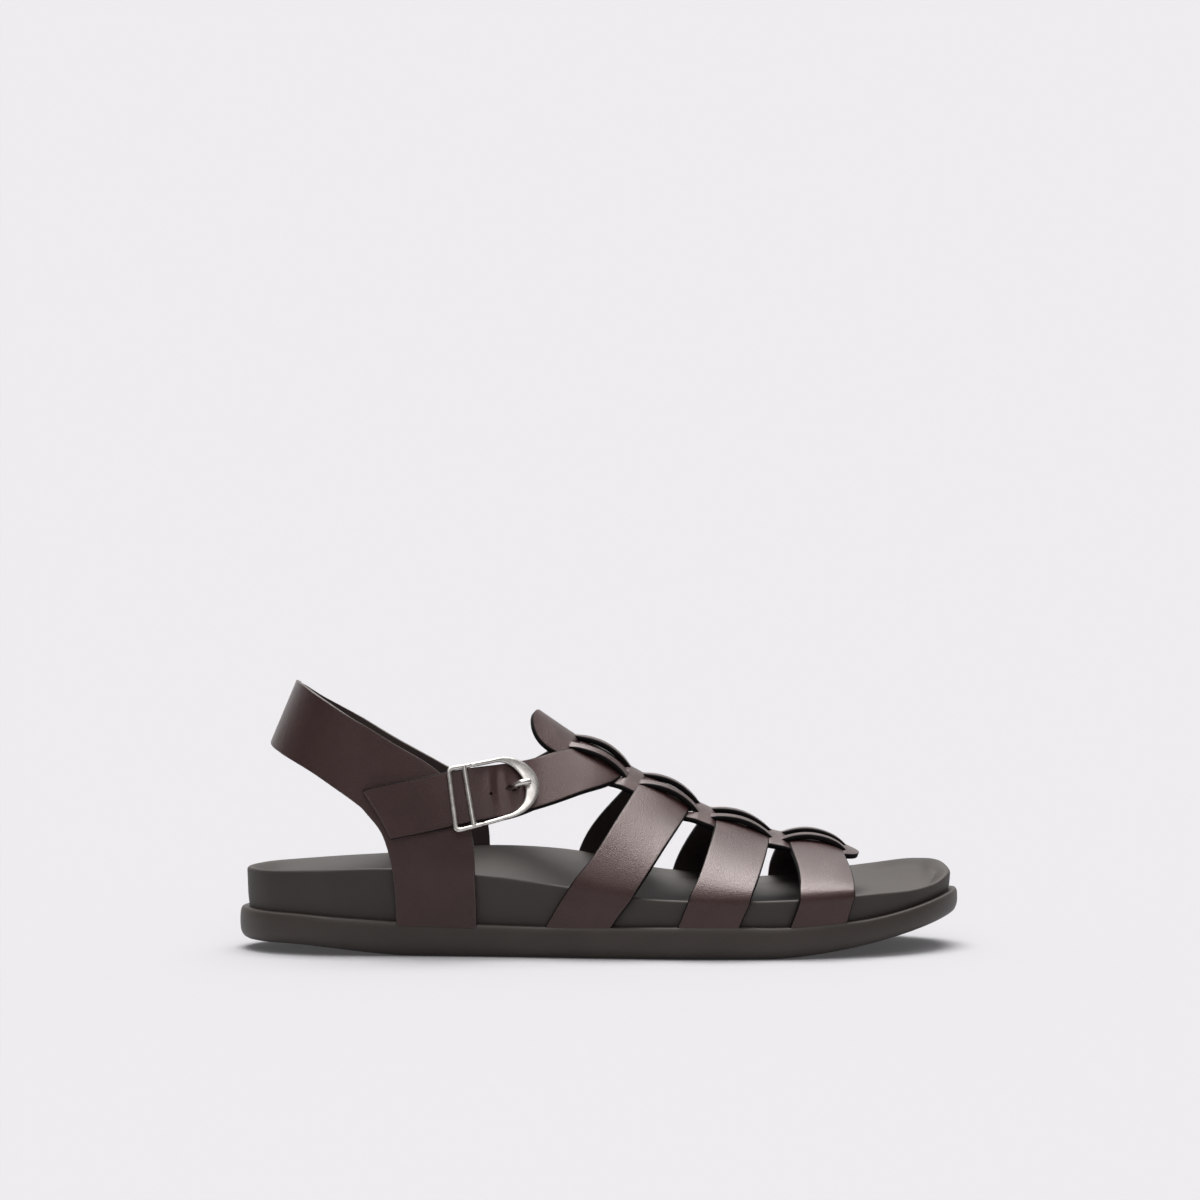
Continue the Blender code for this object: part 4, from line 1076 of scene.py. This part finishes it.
# %% [markdown]
# ## The buckle
#
# A cast ring with a keeper at one end and a wide crescent at the other. Its two
# outlines are drawn flat, paired point by point, and a rounded section is swept
# between them, so the metal swells where the outlines part. The ring is then
# laid on the ankle strap, whose curve it follows.

# %% Draw the buckle flat
BUCKLE_LENGTH = 0.0366
BUCKLE_WIRE = 0.0017
BUCKLE_CRESCENT = 0.0062
BUCKLE_GAP = 0.0005
KEEPER_PITCH = 0.0064
PIVOT_PITCH = 0.0094
PRONG_WIDTH = 0.0022
WIRE_HEIGHT = LEATHER * 1.14 + LEATHER + SEAM_GAP + BUCKLE_WIRE / 2 + 0.1 * MM


def arc(centre, radii, start, end, count):
    """Ellipse: centre + radii x (cos, sin) of angles in degrees."""
    angle = np.radians(np.linspace(start, end, count))
    return np.column_stack([centre[0] + radii[0] * np.cos(angle), centre[1] + radii[1] * np.sin(angle)])


def line(start, end, count):
    return np.linspace(start, end, count + 2)[1:-1]


def d_outline(left, right, half, corner, bow):
    """Two round corners at the keeper and a bowed end, with even straights."""
    return np.vstack([
        line((left, 0), (left, half - corner), 12),
        arc((left + corner, half - corner), (corner, corner), 180, 90, 12),
        line((left + corner, half), (right - bow, half), 40),
        arc((right - bow, 0), (bow, half), 90, -90, 81),
        line((right - bow, -half), (left + corner, -half), 40),
        arc((left + corner, corner - half), (corner, corner), -90, -180, 12),
        line((left, corner - half), (left, 0), 12)])


def powers(along, sideways):
    return np.stack([1 + 0 * along, along, sideways, along ** 2, along * sideways], axis=-1)


def fit_seat(height):
    """Least squares of the strap's surface under the buckle, at a height, by
    1, a, s, a^2 and a s, which leaves a gentle bend and a gentle twist."""
    along, sideways = np.meshgrid(np.linspace(-1, 1, 9) * BUCKLE_LENGTH / 2,
                                  np.linspace(-1, 1, 7) * ANKLE_WIDTH / 2)
    sample = ankle_place(np.full(2, buckle_middle), np.array([0.0, 1e-3]))
    upward = np.sign(sample[1, 2] - sample[0, 2])
    points = raised(ankle_place, buckle_middle + along, sideways * upward, height + 0 * along)
    return np.linalg.lstsq(powers(along, sideways).reshape(-1, 5), points.reshape(-1, 3), rcond=None)[0]


SEAT_LEVELS = np.array([0.0, 8.0]) * MM
SEATS = [fit_seat(height) for height in SEAT_LEVELS]
BUCKLE_TURN = np.radians(2.5)


def on_strap(along, sideways, height):
    """Points over the ankle strap: along it from the buckle's middle, across it
    with up positive, and up from the last, between the two fitted seats."""
    along, sideways = np.asarray(along) + 0.0, np.asarray(sideways) + 0.0
    turned = powers(along * np.cos(BUCKLE_TURN) - sideways * np.sin(BUCKLE_TURN),
                    along * np.sin(BUCKLE_TURN) + sideways * np.cos(BUCKLE_TURN))
    low, high = (turned @ seat for seat in SEATS)
    return low + (high - low) * (np.asarray(height) / SEAT_LEVELS[1] + 0 * along)[..., None]


# %% Sweep the ring
half_length = BUCKLE_LENGTH / 2
inner_half = ANKLE_WIDTH / 2 + BUCKLE_GAP
outer_half = inner_half + BUCKLE_WIRE
outer_line = d_outline(-half_length, half_length, outer_half, 2.2 * MM, 14.5 * MM)
inner_line = d_outline(-half_length + BUCKLE_WIRE, half_length - BUCKLE_CRESCENT, inner_half,
                       1.0 * MM, 9.5 * MM)
around = np.linspace(0, 2 * np.pi, 24, endpoint=False)
swell, level = (0.5 * np.sign(wave) * np.abs(wave) ** 0.75 for wave in (np.cos(around), np.sin(around)))
NOTCH_AT = -half_length + PIVOT_PITCH + 1.2 * MM
on_rail = np.abs(outer_line[:, 1]) > outer_half - 0.3 * MM
notch = 0.28 * np.exp(-((outer_line[:, 0] - NOTCH_AT) / (0.55 * MM)) ** 2) * on_rail
thin = (1 - notch)[:, None]
flat = inner_line[:, None] + (outer_line - inner_line)[:, None] * (0.5 + swell * thin)[..., None]
rise = WIRE_HEIGHT + level * BUCKLE_WIRE * thin
ring_points = on_strap(flat[..., 0], flat[..., 1], rise)
ring_faces = loop_faces(len(outer_line) + 1, len(around)) % ring_points.reshape(-1, 3).shape[0]
buckle = new_piece("buckle_ring", ring_points, ring_faces.tolist(), np.zeros(len(ring_faces)),
                   [satin_metal], sharp=60)
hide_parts("buckle_frame")


# %% Bars and prong
def bar(name, centre, radii, sides=20):
    """A round bar: circles of the given radii, square to the line they follow."""
    heading = unit(np.gradient(centre, axis=0))
    first = unit(np.cross(heading, [0.3, 0.1, 0.95]))
    second = np.cross(heading, first)
    angle = np.linspace(0, 2 * np.pi, sides, endpoint=False)
    circle = (np.cos(angle)[None, :, None] * first[:, None]
              + np.sin(angle)[None, :, None] * second[:, None])
    points = centre[:, None] + circle * radii[:, None, None]
    faces = capped_tube(len(centre), sides)
    return new_piece(name, points, faces, np.zeros(len(faces)), [satin_metal], sharp=50)


KEEPER_RADIUS = 0.64 * BUCKLE_WIRE
PIVOT_RADIUS = 0.42 * BUCKLE_WIRE
PIVOT_BEND = 2.2 * MM
rail = outer_half - BUCKLE_WIRE / 2
steps = np.linspace(-rail, rail, 41)
keeper_at = -half_length + BUCKLE_WIRE / 2 + KEEPER_PITCH
keeper = bar("keeper_bar", on_strap(keeper_at + 0 * steps, steps, WIRE_HEIGHT), KEEPER_RADIUS + 0 * steps)
pivot_low = SEAM_GAP + BUCKLE_WIRE * 0.45
pivot_height = pivot_low + (WIRE_HEIGHT - pivot_low) * smooth_step(np.abs(steps), rail - PIVOT_BEND, rail)
pivot = bar("pivot_bar", on_strap(-half_length + PIVOT_PITCH + 0 * steps, steps, pivot_height),
            PIVOT_RADIUS + 0 * steps)
for piece in (keeper, pivot):
    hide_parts("buckle_frame")

prong_top = WIRE_HEIGHT + BUCKLE_WIRE / 2 + SEAM_GAP + PRONG_WIDTH / 2
prong_start = -half_length + PIVOT_PITCH + PIVOT_RADIUS + SEAM_GAP
PRONG_FALL = 1.7 * MM
PRONG_ROUTE = np.array([
    (prong_start / MM, 0.9), (-2.0, 0.9), (3.0, 0.9), (5.6, 1.2), (7.3, 2.6),
    (8.1, 4.6), (8.8, 6.6), (10.2, prong_top / MM), (14.2, prong_top / MM)]) * MM
route = resample(PRONG_ROUTE, 60)
tip = np.clip((route[-1, 0] - route[:, 0]) / (1.1 * MM), 0, 1)
prong_side = -PRONG_FALL * smooth_step(route[:, 0], 0.005, 0.0165)
prong = bar("prong", on_strap(route[:, 0], prong_side, route[:, 1]),
            0.6 * PRONG_WIDTH * np.sqrt(1 - 0.75 * (1 - tip) ** 4))
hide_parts("buckle_prong")

# %% [markdown]
# ## Floor and light
#
# The studio is one pale surface that fades into its backdrop, lit by a wide
# soft ceiling, a weaker light over the camera and a paler wall behind. The light
# is a formula of direction, written once and used twice: by the world's nodes,
# and by numpy to add up how much light the floor gets, so floor and backdrop can
# be given one colour. A small share of the floor's colour is its own glow.

# %% Light from every direction
BACKDROP = np.array([0.855, 0.839, 0.863])
FLOOR_SHADE = 0.93
ROOM_COLOUR = np.array([1.0, 0.985, 0.975])


def studio(up, back, smooth):
    """Brightness: a dim room, a bright ceiling, a softer light over the camera and
    a wall behind the shoe. Each is a step of the direction's share of its own."""
    ceiling = smooth(up * 0.96 + back * 0.28, 0.87, 0.985)
    front = smooth(up * 0.80 - back * 0.60, 0.80, 0.97)
    return 0.19 + 10.6 * ceiling + 1.5 * front + 0.6 * smooth(back, 0.25, 0.9)


sky_up = (np.arange(200)[:, None] + 0.5) / 200
sky_back = np.sqrt(1 - sky_up ** 2) * np.sin(np.linspace(0, 2 * np.pi, 360, endpoint=False))
floor_light = np.mean(2 * sky_up * studio(sky_up, sky_back, smooth_step))
print("light on the floor:", round(float(floor_light), 3))

world = Finish(bpy.data.worlds.new("studio_light"))
bpy.context.scene.world = world.owner
for old in list(world.tree.nodes):
    world.tree.nodes.remove(old)
direction = world.node("ShaderNodeTexCoord")
back, up = (world.node("ShaderNodeSeparateXYZ", None, {0: direction}, output=axis) for axis in (1, 2))
brightness = studio(up, back, lambda value, low, high: value.clip(low, high))
seen = world.node("ShaderNodeLightPath")
room = world.node("ShaderNodeBackground", None, {"Color": (*ROOM_COLOUR, 1), "Strength": brightness})
plate = world.node("ShaderNodeBackground", None, {"Color": (*BACKDROP, 1), "Strength": 1.0})
both = world.node("ShaderNodeMixShader", None, {0: seen, 1: room, 2: plate})
world.node("ShaderNodeOutputWorld", None, {"Surface": both})

# %% Lay the floor
FLOOR_SIZE = 60.0
floor_mesh = bpy.data.meshes.new("floor")
corners = np.array([(-1, -1, 0), (1, -1, 0), (1, 1, 0), (-1, 1, 0)]) * FLOOR_SIZE / 2
floor_mesh.from_pydata(corners.tolist(), [], [(0, 1, 2, 3)])
floor = bpy.data.objects.new("studio_floor", floor_mesh)
bpy.context.scene.collection.objects.link(floor)
paper = finish_named("floor_paper")
paper.feed("Base Color", (*np.minimum(BACKDROP * FLOOR_SHADE / floor_light / ROOM_COLOUR, 1), 1))
paper.feed("Roughness", 1.0)
paper.feed("Specular IOR Level", 0.0)
paper.feed("Emission Color", (*(BACKDROP * (1 - FLOOR_SHADE)), 1))
paper.feed("Emission Strength", 1.0)
floor_mesh.materials.append(paper.owner)

bpy.context.scene.view_settings.view_transform = "Standard"
